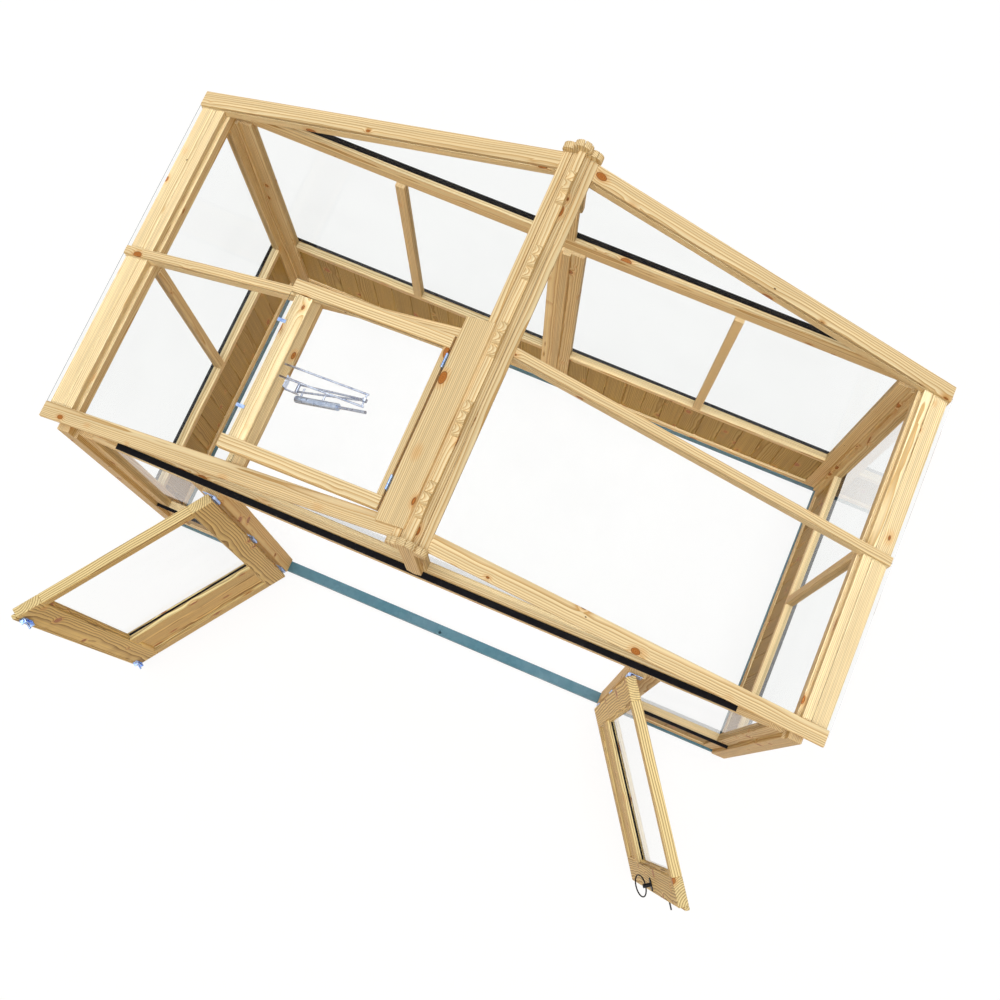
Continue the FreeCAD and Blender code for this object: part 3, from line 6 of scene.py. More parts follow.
import bpy
import numpy as np
from mathutils import Matrix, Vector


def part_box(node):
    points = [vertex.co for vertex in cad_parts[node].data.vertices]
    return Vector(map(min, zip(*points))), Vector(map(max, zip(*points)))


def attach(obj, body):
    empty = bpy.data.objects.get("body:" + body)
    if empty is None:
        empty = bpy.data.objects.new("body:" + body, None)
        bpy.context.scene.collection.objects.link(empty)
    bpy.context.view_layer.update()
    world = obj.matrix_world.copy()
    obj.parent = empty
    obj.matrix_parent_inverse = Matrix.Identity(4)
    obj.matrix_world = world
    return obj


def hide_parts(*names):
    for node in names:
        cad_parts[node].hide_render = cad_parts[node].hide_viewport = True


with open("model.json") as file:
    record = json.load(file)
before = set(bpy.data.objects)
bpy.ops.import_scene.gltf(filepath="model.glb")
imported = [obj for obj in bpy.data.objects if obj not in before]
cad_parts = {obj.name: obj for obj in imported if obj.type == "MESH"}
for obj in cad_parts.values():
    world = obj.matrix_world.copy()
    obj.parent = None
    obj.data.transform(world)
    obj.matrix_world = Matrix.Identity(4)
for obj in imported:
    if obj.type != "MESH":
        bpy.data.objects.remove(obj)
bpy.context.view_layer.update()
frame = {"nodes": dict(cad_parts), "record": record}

BODY_OF = {node: body for body, nodes in frame["record"]["behaviour"]["bodies"].items() for node in nodes}
AXES = np.eye(3)
MERGE_STEP = 1e-5
DEPTH_STEP = 2e-4
STRAIGHT_SHARE = 1e-3
FEWEST_CORNERS = 8

# How far the doors stand open, and the open vent's slope
DOOR_SWING = math.radians(125)
VENT_SLOPE = math.radians(6.8)


def paint(red, green, blue):
    """Linear colour from a display colour of 0 to 255.

    Low shares are divided by 12.92. The others, plus 0.055 and over 1.055, are raised to the power 2.4.
    """
    share = np.array([red, green, blue]) / 255
    straight = np.where(share <= 0.04045, share / 12.92, ((share + 0.055) / 1.055) ** 2.4)
    return (*straight.tolist(), 1.0)


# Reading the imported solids


def node_triangles(name):
    """Corner points of a node's triangles, as triangles by corners by coordinates."""
    mesh = frame["nodes"][name].data
    mesh.calc_loop_triangles()
    points = np.empty(len(mesh.vertices) * 3)
    corners = np.empty(len(mesh.loop_triangles) * 3, dtype=np.int64)
    mesh.vertices.foreach_get("co", points)
    mesh.loop_triangles.foreach_get("vertices", corners)
    return points.reshape(-1, 3)[corners].reshape(-1, 3, 3)


def split_solids(name):
    """The node's separate solids, each as its merged points and its triangles.

    Points closer than the merge step are one point. Two triangles belong together where exactly they two
    share an edge, and the smallest label is passed along such edges until nothing changes.
    """
    soup = node_triangles(name)
    keys = np.round(soup.reshape(-1, 3) / MERGE_STEP).astype(np.int64)
    _, first, merged = np.unique(keys, axis=0, return_index=True, return_inverse=True)
    points = soup.reshape(-1, 3)[first]
    triangles = merged.reshape(-1, 3)
    edges = np.sort(triangles[:, [0, 1, 1, 2, 2, 0]].reshape(-1, 2), axis=1)
    owner = np.repeat(np.arange(len(triangles)), 3)
    _, place, uses = np.unique(edges, axis=0, return_inverse=True, return_counts=True)
    order = np.argsort(place.ravel(), kind="stable")
    paired = order[(uses[place.ravel()] == 2)[order]].reshape(-1, 2)
    one, other = owner[paired[:, 0]], owner[paired[:, 1]]
    label = np.arange(len(triangles))
    while True:
        low = np.minimum(label[one], label[other])
        fresh = label.copy()
        np.minimum.at(fresh, one, low)
        np.minimum.at(fresh, other, low)
        fresh = fresh[fresh]
        if np.array_equal(fresh, label):
            break
        label = fresh
    solids = []
    for mark in np.unique(label):
        chosen = triangles[label == mark]
        used, local = np.unique(chosen, return_inverse=True)
        if len(used) >= FEWEST_CORNERS:
            solids.append((points[used], local.reshape(-1, 3)))
    return solids


def spread(points, axis):
    """How far points reach along a direction."""
    reach = points @ axis
    return reach.max() - reach.min()


def two_ends(points, axis):
    """True where two end planes hold all points and the same outline, carried square along the axis."""
    reach = points @ axis
    near = reach - reach.min() < DEPTH_STEP
    far = reach.max() - reach < DEPTH_STEP
    if not np.all(near | far) or near.sum() != far.sum():
        return False
    flat = points - reach[:, None] * axis
    order = np.lexsort(np.round(flat / DEPTH_STEP).T)
    first, second = flat[order][near[order]], flat[order][far[order]]
    return bool(np.all(np.abs(first - second) < DEPTH_STEP))


def by_angle(flat, centre):
    """Points of a plane in the order of their angle about a centre."""
    return flat[np.argsort(np.arctan2(*(flat - centre).T[::-1]))]


def outline_at(points, axis, middle=None):
    """Outline of a solid's near end, in two axes square to the carrying axis.

    The end's points are put in order by their angle about a middle point, which is right for any outline
    that is seen whole from there. Returns the outline, the two axes and the depths of both ends.
    """
    across = AXES[(int(np.argmax(np.abs(axis))) + 1) % 3]
    up = np.cross(axis, across)
    depth = points @ axis
    end = points[depth - depth.min() < DEPTH_STEP]
    flat = np.stack([end @ across, end @ up], axis=1)
    _, keep = np.unique(np.round(flat / DEPTH_STEP), axis=0, return_index=True)
    flat = flat[keep]
    centre = flat.mean(axis=0) if middle is None else np.array([middle @ across, middle @ up])
    return by_angle(flat, centre), across, up, depth.min(), depth.max()


def corner_bends(outline):
    """Cross product of the two edges at every corner of an outline, and the product of their lengths."""
    before = outline - np.roll(outline, 1, axis=0)
    after = np.roll(outline, -1, axis=0) - outline
    bend = before[:, 0] * after[:, 1] - before[:, 1] * after[:, 0]
    return bend, np.linalg.norm(before, axis=1) * np.linalg.norm(after, axis=1)


def straightened(outline):
    """The outline without points that lie on a straight run between their neighbours."""
    bend, size = corner_bends(outline)
    return outline[np.abs(bend) > STRAIGHT_SHARE * size]


def is_convex(outline):
    """True where the outline turns the same way at every corner."""
    return bool(np.all(corner_bends(outline)[0] > 0))


# Timber pieces

ARC_STEPS = 3
END_TURNS = np.radians([90, 60, 30, 0])
CAP_RIM = 0.12
# The heart of the tree under a board and beside its middle, as shares of its width
HEART_BENEATH = (0.15, 0.5)
HEART_BESIDE = (0.25, 1.0)
WIDE_BOARD = 0.30
GRAIN_SHIFT = 60


def edge_normals(outline):
    """Outward normals of an outline's edges, each for the edge that starts at a point."""
    along = np.roll(outline, -1, axis=0) - outline
    along /= np.linalg.norm(along, axis=1)[:, None]
    return np.stack([along[:, 1], -along[:, 0]], axis=1)


def rounded_corners(outline, radius):
    """Ring of inset corner points and outward normals for an outline with rounded corners.

    Each corner is moved in by the radius along both its edges, and gets normals that turn evenly from one
    edge's normal to the next one's. A point of the rounded outline is the inset corner plus the radius
    times a normal.
    """
    after = edge_normals(outline)
    before = np.roll(after, 1, axis=0)
    inset = outline - radius * (before + after) / (1 + np.sum(before * after, axis=1))[:, None]
    start = np.arctan2(before[:, 1], before[:, 0])
    sweep = np.mod(np.arctan2(after[:, 1], after[:, 0]) - start, 2 * np.pi)
    share = np.linspace(0, 1, ARC_STEPS + 1)
    angle = start[:, None] + sweep[:, None] * share
    normals = np.stack([np.cos(angle), np.sin(angle)], axis=2)
    centres = np.repeat(inset[:, None, :], ARC_STEPS + 1, axis=1)
    edge = np.tile(1 - np.abs(2 * share - 1), len(outline))
    return centres.reshape(-1, 2), normals.reshape(-1, 2), edge


def eased_outline(outline, radius):
    """Ring of inset points and outward normals for a curved outline.

    A point's normal is the mean of its two edges' normals, and the point is moved in along it by the radius.
    """
    after = edge_normals(outline)
    normals = after + np.roll(after, 1, axis=0)
    normals /= np.linalg.norm(normals, axis=1)[:, None]
    return outline - radius * normals, normals, np.zeros(len(outline))


def carried_prism(ring, radius, across, up, axis, near, far):
    """Surface of a ring carried from near to far along the axis, with both ends rounded.

    With the turn going from 90 degrees to 0 at each end, a point is the inset ring point plus the radius
    times the normal times the cosine of the turn, at a depth of the end less the radius times one less
    its sine: a ball of that radius rolled round the inset shape. The flat caps start at a small rim
    inside the last turn.
    """
    centres, normals, edge = ring
    count = len(centres)
    turns = np.concatenate([END_TURNS, END_TURNS[::-1]])
    signs = np.repeat([-1.0, 1.0], len(END_TURNS))
    out = np.cos(turns)
    out[[0, -1]] = CAP_RIM
    depth = np.where(signs < 0, near + radius * (1 - np.sin(turns)), far - radius * (1 - np.sin(turns)))
    flat = centres[None] + radius * out[:, None, None] * normals[None]
    points = flat[..., :1] * across + flat[..., 1:] * up + depth[:, None, None] * axis
    facing = (normals[None, :, :1] * across + normals[None, :, 1:] * up) * np.cos(turns)[:, None, None]
    facing = facing + (signs * np.sin(turns))[:, None, None] * axis
    end_edge = np.sin(2 * turns)
    wear = np.maximum(np.broadcast_to(edge, flat.shape[:2]), end_edge[:, None])
    row = np.arange(len(turns) - 1)[:, None] * count
    step = np.arange(count)[None]
    beside = (step + 1) % count
    sides = np.stack([row + step, row + beside, row + count + beside, row + count + step], axis=2)
    caps = [list(range(count))[::-1], list(range((len(turns) - 1) * count, len(turns) * count))]
    faces = sides.reshape(-1, 4).tolist() + caps
    return points.reshape(-1, 3), faces, facing.reshape(-1, 3), wear.ravel()


def board_axes(points, outline, across, up, axis):
    """Length, width and thickness directions of a board, from its longest edge and its carrying axis."""
    edges = np.roll(outline, -1, axis=0) - outline
    longest = edges[np.argmax(np.linalg.norm(edges, axis=1))]
    longest = longest / np.linalg.norm(longest)
    first = longest[0] * across + longest[1] * up
    second = np.cross(axis, first)
    choice = np.stack([axis, first, second])
    order = np.argsort([-spread(points, way) for way in choice], kind="stable")
    return choice[order]


def grain_values(points, ways, luck):
    """Board coordinates for the wood pattern, and the place of the tree's heart beside the board.

    A point's coordinates are its distances from the board's middle along its length, width and thickness.
    The length gets a board's own shift. The heart lies under one wide face and off to one side, each by a
    share of the board's width, and the third value is the board's tone.
    """
    middle = (points.max(axis=0) + points.min(axis=0)) / 2
    local = (points - middle) @ ways.T
    width, thick = np.ptp(local[:, 1]), np.ptp(local[:, 2])
    local[:, 0] += luck.uniform(0, GRAIN_SHIFT)
    face = luck.choice([-1.0, 1.0])
    beneath = face * (thick / 2 + luck.uniform(*HEART_BENEATH) * min(width, WIDE_BOARD))
    beside = luck.choice([-1.0, 1.0]) * luck.uniform(*HEART_BESIDE) * width
    heart = (beside, beneath, luck.random())
    return local, np.tile(heart, (len(points), 1))


class Timber:
    """Gathers the surfaces of one node's boards and makes them one piece."""

    def __init__(self, name, seed):
        self.name = name
        self.luck = np.random.default_rng(seed)
        self.points, self.faces, self.normals = [], [], []
        self.grain, self.heart, self.wear = [], [], []
        self.count = 0

    def add(self, points, faces, normals, wear, ways):
        """Takes one board's surface with its own grain."""
        grain, heart = grain_values(points, ways, self.luck)
        self.points.append(points)
        self.faces += [[corner + self.count for corner in face] for face in faces]
        self.normals.append(normals)
        self.grain.append(grain)
        self.heart.append(heart)
        self.wear.append(wear)
        self.count += len(points)

    def prism(self, outline, across, up, axis, near, far, radius, ways=None, curved=False):
        """Adds a straight board or a shaped one from its outline."""
        ring = eased_outline(outline, radius) if curved else rounded_corners(outline, radius)
        surface = carried_prism(ring, radius, across, up, axis, near, far)
        if ways is None:
            ways = board_axes(surface[0], outline, across, up, axis)
        self.add(*surface, ways)

    def plain(self, points, triangles):
        """Adds a drilled solid as it was packed, with flat faces and its grain along its longest side."""
        corners = points[triangles]
        facing = np.cross(corners[:, 1] - corners[:, 0], corners[:, 2] - corners[:, 0])
        facing /= np.linalg.norm(facing, axis=1)[:, None]
        order = np.argsort([-spread(points, way) for way in AXES], kind="stable")
        faces = np.arange(len(triangles) * 3).reshape(-1, 3).tolist()
        normals = np.repeat(facing, 3, axis=0)
        self.add(corners.reshape(-1, 3), faces, normals, np.zeros(len(normals)), AXES[order])

    def finish(self, material, body, slot, nodes):
        """Puts the boards into one mesh that rides on a body and stands for the given nodes."""
        mesh = bpy.data.meshes.new(self.name)
        mesh.from_pydata(np.concatenate(self.points).tolist(), [], self.faces)
        store(mesh, "grain", "FLOAT_VECTOR", np.concatenate(self.grain))
        store(mesh, "heart", "FLOAT_VECTOR", np.concatenate(self.heart))
        store(mesh, "wear", "FLOAT", np.concatenate(self.wear))
        mesh.shade_smooth()
        mesh.normals_split_custom_set_from_vertices(np.concatenate(self.normals).tolist())
        return settle(mesh, material, body, nodes)


def store(mesh, name, kind, values):
    """Keeps one value or vector for each point of a mesh."""
    field = mesh.attributes.new(name, kind, "POINT")
    label = "vector" if kind == "FLOAT_VECTOR" else "value"
    field.data.foreach_set(label, values.astype(np.float32).ravel())


def settle(mesh, material, body, nodes=()):
    """Makes an object of a mesh, gives it its finish and fixes it to its body."""
    mesh.materials.append(material)
    piece = bpy.data.objects.new(mesh.name, mesh)
    bpy.context.scene.collection.objects.link(piece)
    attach(piece, body)
    if nodes:
        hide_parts(*nodes)
    return piece


# Shader helpers


class Web:
    """Short words for laying shader nodes in one tree."""

    def __init__(self, tree):
        self.tree = tree

    def node(self, kind, **settings):
        """A new node with its settings."""
        made = self.tree.nodes.new("ShaderNode" + kind)
        for name, value in settings.items():
            setattr(made, name, value)
        return made

    def feed(self, socket, value):
        """Links a socket to another, or sets its value."""
        if isinstance(value, bpy.types.NodeSocket):
            self.tree.links.new(value, socket)
        else:
            socket.default_value = value

    def calc(self, operation, *terms):
        """One sum of numbers."""
        made = self.node("Math", operation=operation)
        for socket, term in zip(made.inputs, terms):
            self.feed(socket, term)
        return made.outputs[0]

    def stretched(self, vector, factors):
        """A vector with each part times its own factor."""
        made = self.node("VectorMath", operation="MULTIPLY")
        self.feed(made.inputs[0], vector)
        made.inputs[1].default_value = factors
        return made.outputs[0]

    def parts(self, vector):
        """The three numbers of a vector."""
        made = self.node("SeparateXYZ")
        self.feed(made.inputs[0], vector)
        return made.outputs[0], made.outputs[1], made.outputs[2]

    def noise(self, vector, scale=1.0, detail=2.0):
        """Smooth noise from 0 to 1."""
        made = self.node("TexNoise")
        self.feed(made.inputs["Vector"], vector)
        made.inputs["Scale"].default_value = scale
        made.inputs["Detail"].default_value = detail
        return made.outputs["Fac"]

    def step(self, value, low, high, first=0.0, second=1.0):
        """Goes smoothly from the first value to the second while the input goes from low to high."""
        made = self.node("MapRange", interpolation_type="SMOOTHSTEP")
        self.feed(made.inputs["Value"], value)
        self.feed(made.inputs["From Min"], low)
        self.feed(made.inputs["From Max"], high)
        self.feed(made.inputs["To Min"], first)
        self.feed(made.inputs["To Max"], second)
        return made.outputs["Result"]

    def blend(self, share, first, second, mode="MIX"):
        """Two colours mixed by a share."""
        made = self.node("Mix", data_type="RGBA", blend_type=mode)
        self.feed(made.inputs[0], share)
        self.feed(made.inputs[6], first)
        self.feed(made.inputs[7], second)
        return made.outputs[2]


def shader_group(name, inputs, outputs):
    """A new node group with named sockets. Returns its web, its input sockets and its output node."""
    tree = bpy.data.node_groups.new(name, "ShaderNodeTree")
    for label, kind, value in inputs:
        socket = tree.interface.new_socket(label, in_out="INPUT", socket_type="NodeSocket" + kind)
        if value is not None:
            socket.default_value = value
    for label, kind in outputs:
        tree.interface.new_socket(label, in_out="OUTPUT", socket_type="NodeSocket" + kind)
    web = Web(tree)
    source = tree.nodes.new("NodeGroupInput")
    target = tree.nodes.new("NodeGroupOutput")
    return web, source.outputs, target.inputs


# Pine: knots, small pins and noise, all counted per metre along, across and through a board
KNOT_COUNTS = (8.0, 13.0, 13.0)
KNOT_CHANCE = 0.45
KNOT_SIZE = (0.12, 0.08)
KNOT_FALL = -0.55
KNOT_PUSH = 0.010
KNOT_RINGS = 3.2
KNOT_HALO = paint(222, 168, 100)
KNOT_PALE = paint(200, 134, 70)
KNOT_DARK = paint(160, 94, 44)
KNOT_RIM = paint(116, 68, 32)
PIN_COUNTS = (9.0, 15.0, 15.0)
PIN_CHANCE = 0.72
PIN_EDGE = (0.052, 0.034)
PIN_COLOUR = paint(84, 48, 26)
SLOW_COUNTS = (0.9, 6.0, 6.0)
QUICK_COUNTS = (5.5, 13.0, 13.0)
FIBRE_COUNTS = (2.0, 170.0, 170.0)
BAND_COUNTS = (0.45, 11.0, 11.0)
# Fades: where each starts and ends, and where they aren't 0 and 1 the values it goes between
LATE_FADE = (0.90, 1.0, 1.0, 0.0)
DARK_BAND = (0.54, 0.74, 0.0, 0.30)
PALE_BAND = (0.44, 0.26, 0.0, 0.30)
FIBRE_SHADE = (0.3, 0.7, 0.86, 1.06)
TONE_SHADE = (0.0, 1.0, 0.93, 1.06)
HALO_FADE = (2.1, 0.9, 0.0, 0.45)
KNOT_EDGE = (1.04, 0.86)
RIM_FADE = (0.72, 0.95, 0.0, 0.75)
WEAR_GAIN = 0.07
# Roughness and height that late wood, fibres and knots add
LATE_ROUGH, PLAIN_ROUGH, KNOT_ROUGH = 0.10, 0.50, -0.12
LATE_RISE, FIBRE_RISE, KNOT_RISE = 0.6, 0.4, 0.5


def scattered(web, grain, counts):
    """Distance to the nearest of many scattered points, and the random numbers of that point."""
    cells = web.node("TexVoronoi")
    web.feed(cells.inputs["Vector"], web.stretched(grain, counts))
    cells.inputs["Scale"].default_value = 1.0
    lot = web.node("SeparateColor")
    web.feed(lot.inputs[0], cells.outputs["Color"])
    return cells.outputs["Distance"], lot.outputs


def pine_group():
    """Sawn pine: rings about the tree's heart, pushed round knots, with fine fibres.

    The ring number is the distance from the heart over the ring width, after slow noise has bent it along
    the board. Pale early wood darkens slowly to late wood and then starts again. A knot lies where the
    distance to a scattered point is under the knot's own size.
    """
    web, given, out = shader_group(
        "sawn_pine",
        [
            ("Grain", "Vector", None),
            ("Heart", "Vector", None),
            ("Wear", "Float", 0.0),
            ("Early", "Color", (1, 1, 1, 1)),
            ("Late", "Color", (1, 1, 1, 1)),
            ("Ring", "Float", 0.005),
            ("Contrast", "Float", 0.6),
            ("Sway", "Float", 0.03),
            ("Wave", "Float", 0.006),
        ],
        [("Color", "Color"), ("Roughness", "Float"), ("Height", "Float")],
    )
    grain = given["Grain"]
    _, across, deep = web.parts(grain)
    heart_across, heart_deep, tone = web.parts(given["Heart"])
    distance, lot = scattered(web, grain, KNOT_COUNTS)
    present = web.calc("GREATER_THAN", lot[1], KNOT_CHANCE)
    away = web.calc("DIVIDE", distance, web.calc("MULTIPLY_ADD", lot[0], *KNOT_SIZE))
    bulge = web.calc("EXPONENT", web.calc("MULTIPLY", web.calc("POWER", away, 2.0), KNOT_FALL))
    push = web.calc("MULTIPLY", web.calc("MULTIPLY", bulge, present), KNOT_PUSH)
    slow = web.calc("SUBTRACT", web.noise(web.stretched(grain, SLOW_COUNTS), detail=1.0), 0.5)
    quick = web.calc("SUBTRACT", web.noise(web.stretched(grain, QUICK_COUNTS), detail=1.5), 0.5)
    side = web.calc("SUBTRACT", across, heart_across)
    under = web.calc("SUBTRACT", deep, heart_deep)
    reach = web.calc("SQRT", web.calc("ADD", web.calc("POWER", side, 2.0), web.calc("POWER", under, 2.0)))
    reach = web.calc("ADD", reach, web.calc("MULTIPLY", slow, given["Sway"]))
    reach = web.calc("ADD", reach, web.calc("MULTIPLY", quick, given["Wave"]))
    reach = web.calc("ADD", reach, push)
    ring = web.calc("FRACT", web.calc("DIVIDE", reach, given["Ring"]))
    late = web.calc("MULTIPLY", web.calc("POWER", ring, 2.0), web.step(ring, *LATE_FADE))
    fibre = web.noise(web.stretched(grain, FIBRE_COUNTS), detail=3.0)
    band = web.noise(web.stretched(grain, BAND_COUNTS), detail=2.0)
    between = web.blend(0.5, given["Early"], given["Late"])
    colour = web.blend(web.calc("MULTIPLY", late, given["Contrast"]), given["Early"], given["Late"])
    colour = web.blend(web.step(band, *DARK_BAND), colour, between)
    colour = web.blend(web.step(band, *PALE_BAND), colour, given["Early"])
    grey = web.step(fibre, *FIBRE_SHADE)
    grey = web.calc("MULTIPLY", grey, web.step(tone, *TONE_SHADE))
    grey = web.calc("MULTIPLY", grey, web.calc("MULTIPLY_ADD", given["Wear"], WEAR_GAIN, 1.0))
    shade = web.node("CombineColor")
    for socket in shade.inputs[:3]:
        web.feed(socket, grey)
    colour = web.blend(1.0, colour, shade.outputs[0], "MULTIPLY")
    halo = web.calc("MULTIPLY", present, web.step(away, *HALO_FADE))
    colour = web.blend(halo, colour, KNOT_HALO)
    knot = web.calc("MULTIPLY", present, web.step(away, *KNOT_EDGE))
    core = web.calc("FRACT", web.calc("MULTIPLY", away, KNOT_RINGS))
    knot_colour = web.blend(core, KNOT_PALE, KNOT_DARK)
    knot_colour = web.blend(web.step(away, *RIM_FADE), knot_colour, KNOT_RIM)
    colour = web.blend(knot, colour, knot_colour)
    pin_distance, pin_lot = scattered(web, grain, PIN_COUNTS)
    pin = web.calc("GREATER_THAN", pin_lot[0], PIN_CHANCE)
    pin = web.calc("MULTIPLY", pin, web.step(pin_distance, *PIN_EDGE))
    colour = web.blend(pin, colour, PIN_COLOUR)
    web.feed(out["Color"], colour)
    rough = web.calc("MULTIPLY_ADD", late, LATE_ROUGH, PLAIN_ROUGH)
    web.feed(out["Roughness"], web.calc("MULTIPLY_ADD", knot, KNOT_ROUGH, rough))
    height = web.calc("MULTIPLY_ADD", late, LATE_RISE, web.calc("MULTIPLY", fibre, FIBRE_RISE))
    web.feed(out["Height"], web.calc("MULTIPLY_ADD", knot, KNOT_RISE, height))
    return web.tree


WOOD_SHINE = 0.12
WOOD_BUMP = (0.35, 0.0006)
CLOUD_SHARE = 0.6
SPANGLE_SHARE = 0.45
CLOUD_FADE = (0.3, 0.7)
GRIT_DEPTH = 0.0004


def material_web(name):
    """A new material with one Principled shader. Returns the material, its web and the shader."""
    made = bpy.data.materials.new(name)
    made.use_nodes = True
    web = Web(made.node_tree)
    shader = next(n for n in made.node_tree.nodes if n.type == "BSDF_PRINCIPLED")
    return made, web, shader


def bumped(web, shader, height, strength, distance):
    """Raises the surface a little by a height value."""
    bump = web.node("Bump")
    bump.inputs["Strength"].default_value = strength
    bump.inputs["Distance"].default_value = distance
    web.feed(bump.inputs["Height"], height)
    web.feed(shader.inputs["Normal"], bump.outputs["Normal"])


def pine_material(name, group, early, late, figure):
    """Pine with its own ring width, contrast, sway and wave, read from the boards' own coordinates."""
    made, web, shader = material_web(name)
    wood = web.node("Group", node_tree=group)
    for label in ("grain", "heart", "wear"):
        field = web.node("Attribute", attribute_name=label)
        output = field.outputs["Fac"] if label == "wear" else field.outputs["Vector"]
        web.feed(wood.inputs[label.capitalize()], output)
    wood.inputs["Early"].default_value = early
    wood.inputs["Late"].default_value = late
    for label, value in zip(("Ring", "Contrast", "Sway", "Wave"), figure):
        wood.inputs[label].default_value = value
    web.feed(shader.inputs["Base Color"], wood.outputs["Color"])
    web.feed(shader.inputs["Roughness"], wood.outputs["Roughness"])
    shader.inputs["Specular IOR Level"].default_value = WOOD_SHINE
    bumped(web, shader, wood.outputs["Height"], *WOOD_BUMP)
    return made


def fleck_group():
    """Small uneven patches for metal and paint: cloudy noise, sharp-edged spangles and fine grit."""
    web, given, out = shader_group(
        "uneven_finish",
        [("Cloud", "Float", 14.0), ("Spangle", "Float", 90.0), ("Grit", "Float", 700.0)],
        [("Cloud", "Float"), ("Spangle", "Float"), ("Grit", "Float")],
    )
    place = web.node("TexCoord").outputs["Object"]
    for label in ("Cloud", "Grit"):
        made = web.node("TexNoise")
        web.feed(made.inputs["Vector"], place)
        web.feed(made.inputs["Scale"], given[label])
        made.inputs["Detail"].default_value = 3.0
        web.feed(out[label], made.outputs["Fac"])
    cells = web.node("TexVoronoi")
    web.feed(cells.inputs["Vector"], place)
    web.feed(cells.inputs["Scale"], given["Spangle"])
    parts = web.node("SeparateColor")
    web.feed(parts.inputs[0], cells.outputs["Color"])
    web.feed(out["Spangle"], parts.outputs[0])
    return web.tree


def coated_material(name, group, first, second, rough, metal, scales, bump, shine=0.5):
    """Metal, paint or rubber whose colour and gloss vary with clouds, spangles and grit."""
    made, web, shader = material_web(name)
    fleck = web.node("Group", node_tree=group)
    for label, value in zip(("Cloud", "Spangle", "Grit"), scales):
        fleck.inputs[label].default_value = value
    cloud = web.calc("MULTIPLY", fleck.outputs["Cloud"], CLOUD_SHARE)
    mixed = web.calc("MULTIPLY_ADD", fleck.outputs["Spangle"], SPANGLE_SHARE, cloud)
    web.feed(shader.inputs["Base Color"], web.blend(mixed, first, second))
    web.feed(shader.inputs["Roughness"], web.step(fleck.outputs["Cloud"], *CLOUD_FADE, *rough))
    shader.inputs["Metallic"].default_value = metal
    shader.inputs["Specular IOR Level"].default_value = shine
    bumped(web, shader, fleck.outputs["Grit"], bump, GRIT_DEPTH)
    return made


PANE_SCALES = {"Cloud": 2.2, "Spangle": 30.0, "Grit": 160.0}
PANE_CLEAN = paint(250, 251, 251)
PANE_MARKED = paint(248, 249, 249)
PANE_SHADOW = paint(246, 248, 248)
CUT_EDGE = paint(62, 74, 76)
PANE_BEND = 1.04
MARK_FADE = (0.45, 0.75)
EDGE_FADE = (0.5, 0.7, 1.0, 0.0)


def surface_choice(made, web, share, first, second):
    """Shows the first of two shaders, or the second where the share is 1."""
    choose = web.node("MixShader")
    web.feed(choose.inputs[0], share)
    web.feed(choose.inputs[1], first.outputs[0])
    web.feed(choose.inputs[2], second.outputs[0])
    target = next(n for n in made.node_tree.nodes if n.type == "OUTPUT_MATERIAL")
    web.feed(target.inputs["Surface"], choose.outputs[0])


def glass_material(name, group, level):
    """Clear pane with a faint grey tint and weather marks, which lets the lamps' light through.

    A near level pane shows its cut edges as dark lines: there the surface looks sideways, not up or down.
    """
    made, web, shader = material_web(name)
    fleck = web.node("Group", node_tree=group)
    for label, value in PANE_SCALES.items():
        fleck.inputs[label].default_value = value
    marks = web.step(fleck.outputs["Cloud"], *MARK_FADE)
    tint = web.blend(marks, PANE_CLEAN, PANE_MARKED)
    if level:
        upright = web.parts(web.node("TexCoord").outputs["Normal"])[2]
        edge = web.step(web.calc("ABSOLUTE", upright), *EDGE_FADE)
        tint = web.blend(edge, tint, CUT_EDGE)
    web.feed(shader.inputs["Base Color"], tint)
    shader.inputs["Roughness"].default_value = 0.0
    shader.inputs["Transmission Weight"].default_value = 1.0
    shader.inputs["IOR"].default_value = PANE_BEND
    clear = web.node("BsdfTransparent")
    clear.inputs["Color"].default_value = PANE_SHADOW
    surface_choice(made, web, web.node("LightPath").outputs["Is Shadow Ray"], shader, clear)
    return made


PINE = pine_group()
FLECK = fleck_group()
# Pine: early and late wood, then ring width, contrast, sway and wave
FRAME_PINE = pine_material("frame_pine", PINE, paint(250, 234, 194), paint(192, 146, 74),
                           (0.0058, 1.0, 0.02, 0.005))
DOOR_PINE = pine_material("door_pine", PINE, paint(255, 238, 182), paint(130, 84, 30),
                          (0.0080, 1.0, 0.03, 0.010))
PANEL_PINE = pine_material("panel_pine", PINE, paint(254, 234, 176), paint(130, 84, 32),
                           (0.018, 1.0, 0.14, 0.04))
# Wall boards: the frame's pine made darker, as painted shade for the shade they stand in under the sills
SHADED_BOARD_PINE = pine_material("shaded_board_pine", PINE, paint(196, 169, 102), paint(140, 105, 45),
                           (0.0060, 1.0, 0.03, 0.010))
# Coats: two tones, least and most roughness, metal share, sizes of the flecks, bump and shine
TEAL_PAINT = coated_material("teal_paint", FLECK, paint(62, 112, 136), paint(82, 134, 156), (0.45, 0.7), 0.0,
                             (9.0, 60.0, 420.0), 0.25)
BLACK_STRIP = coated_material("black_strip", FLECK, paint(5, 5, 9), paint(17, 18, 26), (0.5, 0.7), 0.0,
                              (25.0, 200.0, 900.0), 0.12, 0.12)
ZINC = coated_material("zinc_plate", FLECK, paint(92, 132, 200), paint(188, 206, 234), (0.22, 0.42), 1.0,
                       (30.0, 140.0, 900.0), 0.10)
STEEL = coated_material("bright_steel", FLECK, paint(132, 142, 170), paint(214, 220, 232), (0.2, 0.38), 1.0,
                        (30.0, 140.0, 900.0), 0.08)
BLACK_IRON = coated_material("black_iron", FLECK, paint(10, 10, 13), paint(28, 28, 32), (0.4, 0.6), 0.0,
                             (40.0, 180.0, 260.0), 0.35, 0.2)
DARK_METAL = coated_material("dark_cylinder", FLECK, paint(140, 158, 192), paint(204, 216, 234), (0.25, 0.4),
                             0.6, (30.0, 120.0, 800.0), 0.08)
PANE = glass_material("clear_pane", FLECK, False)
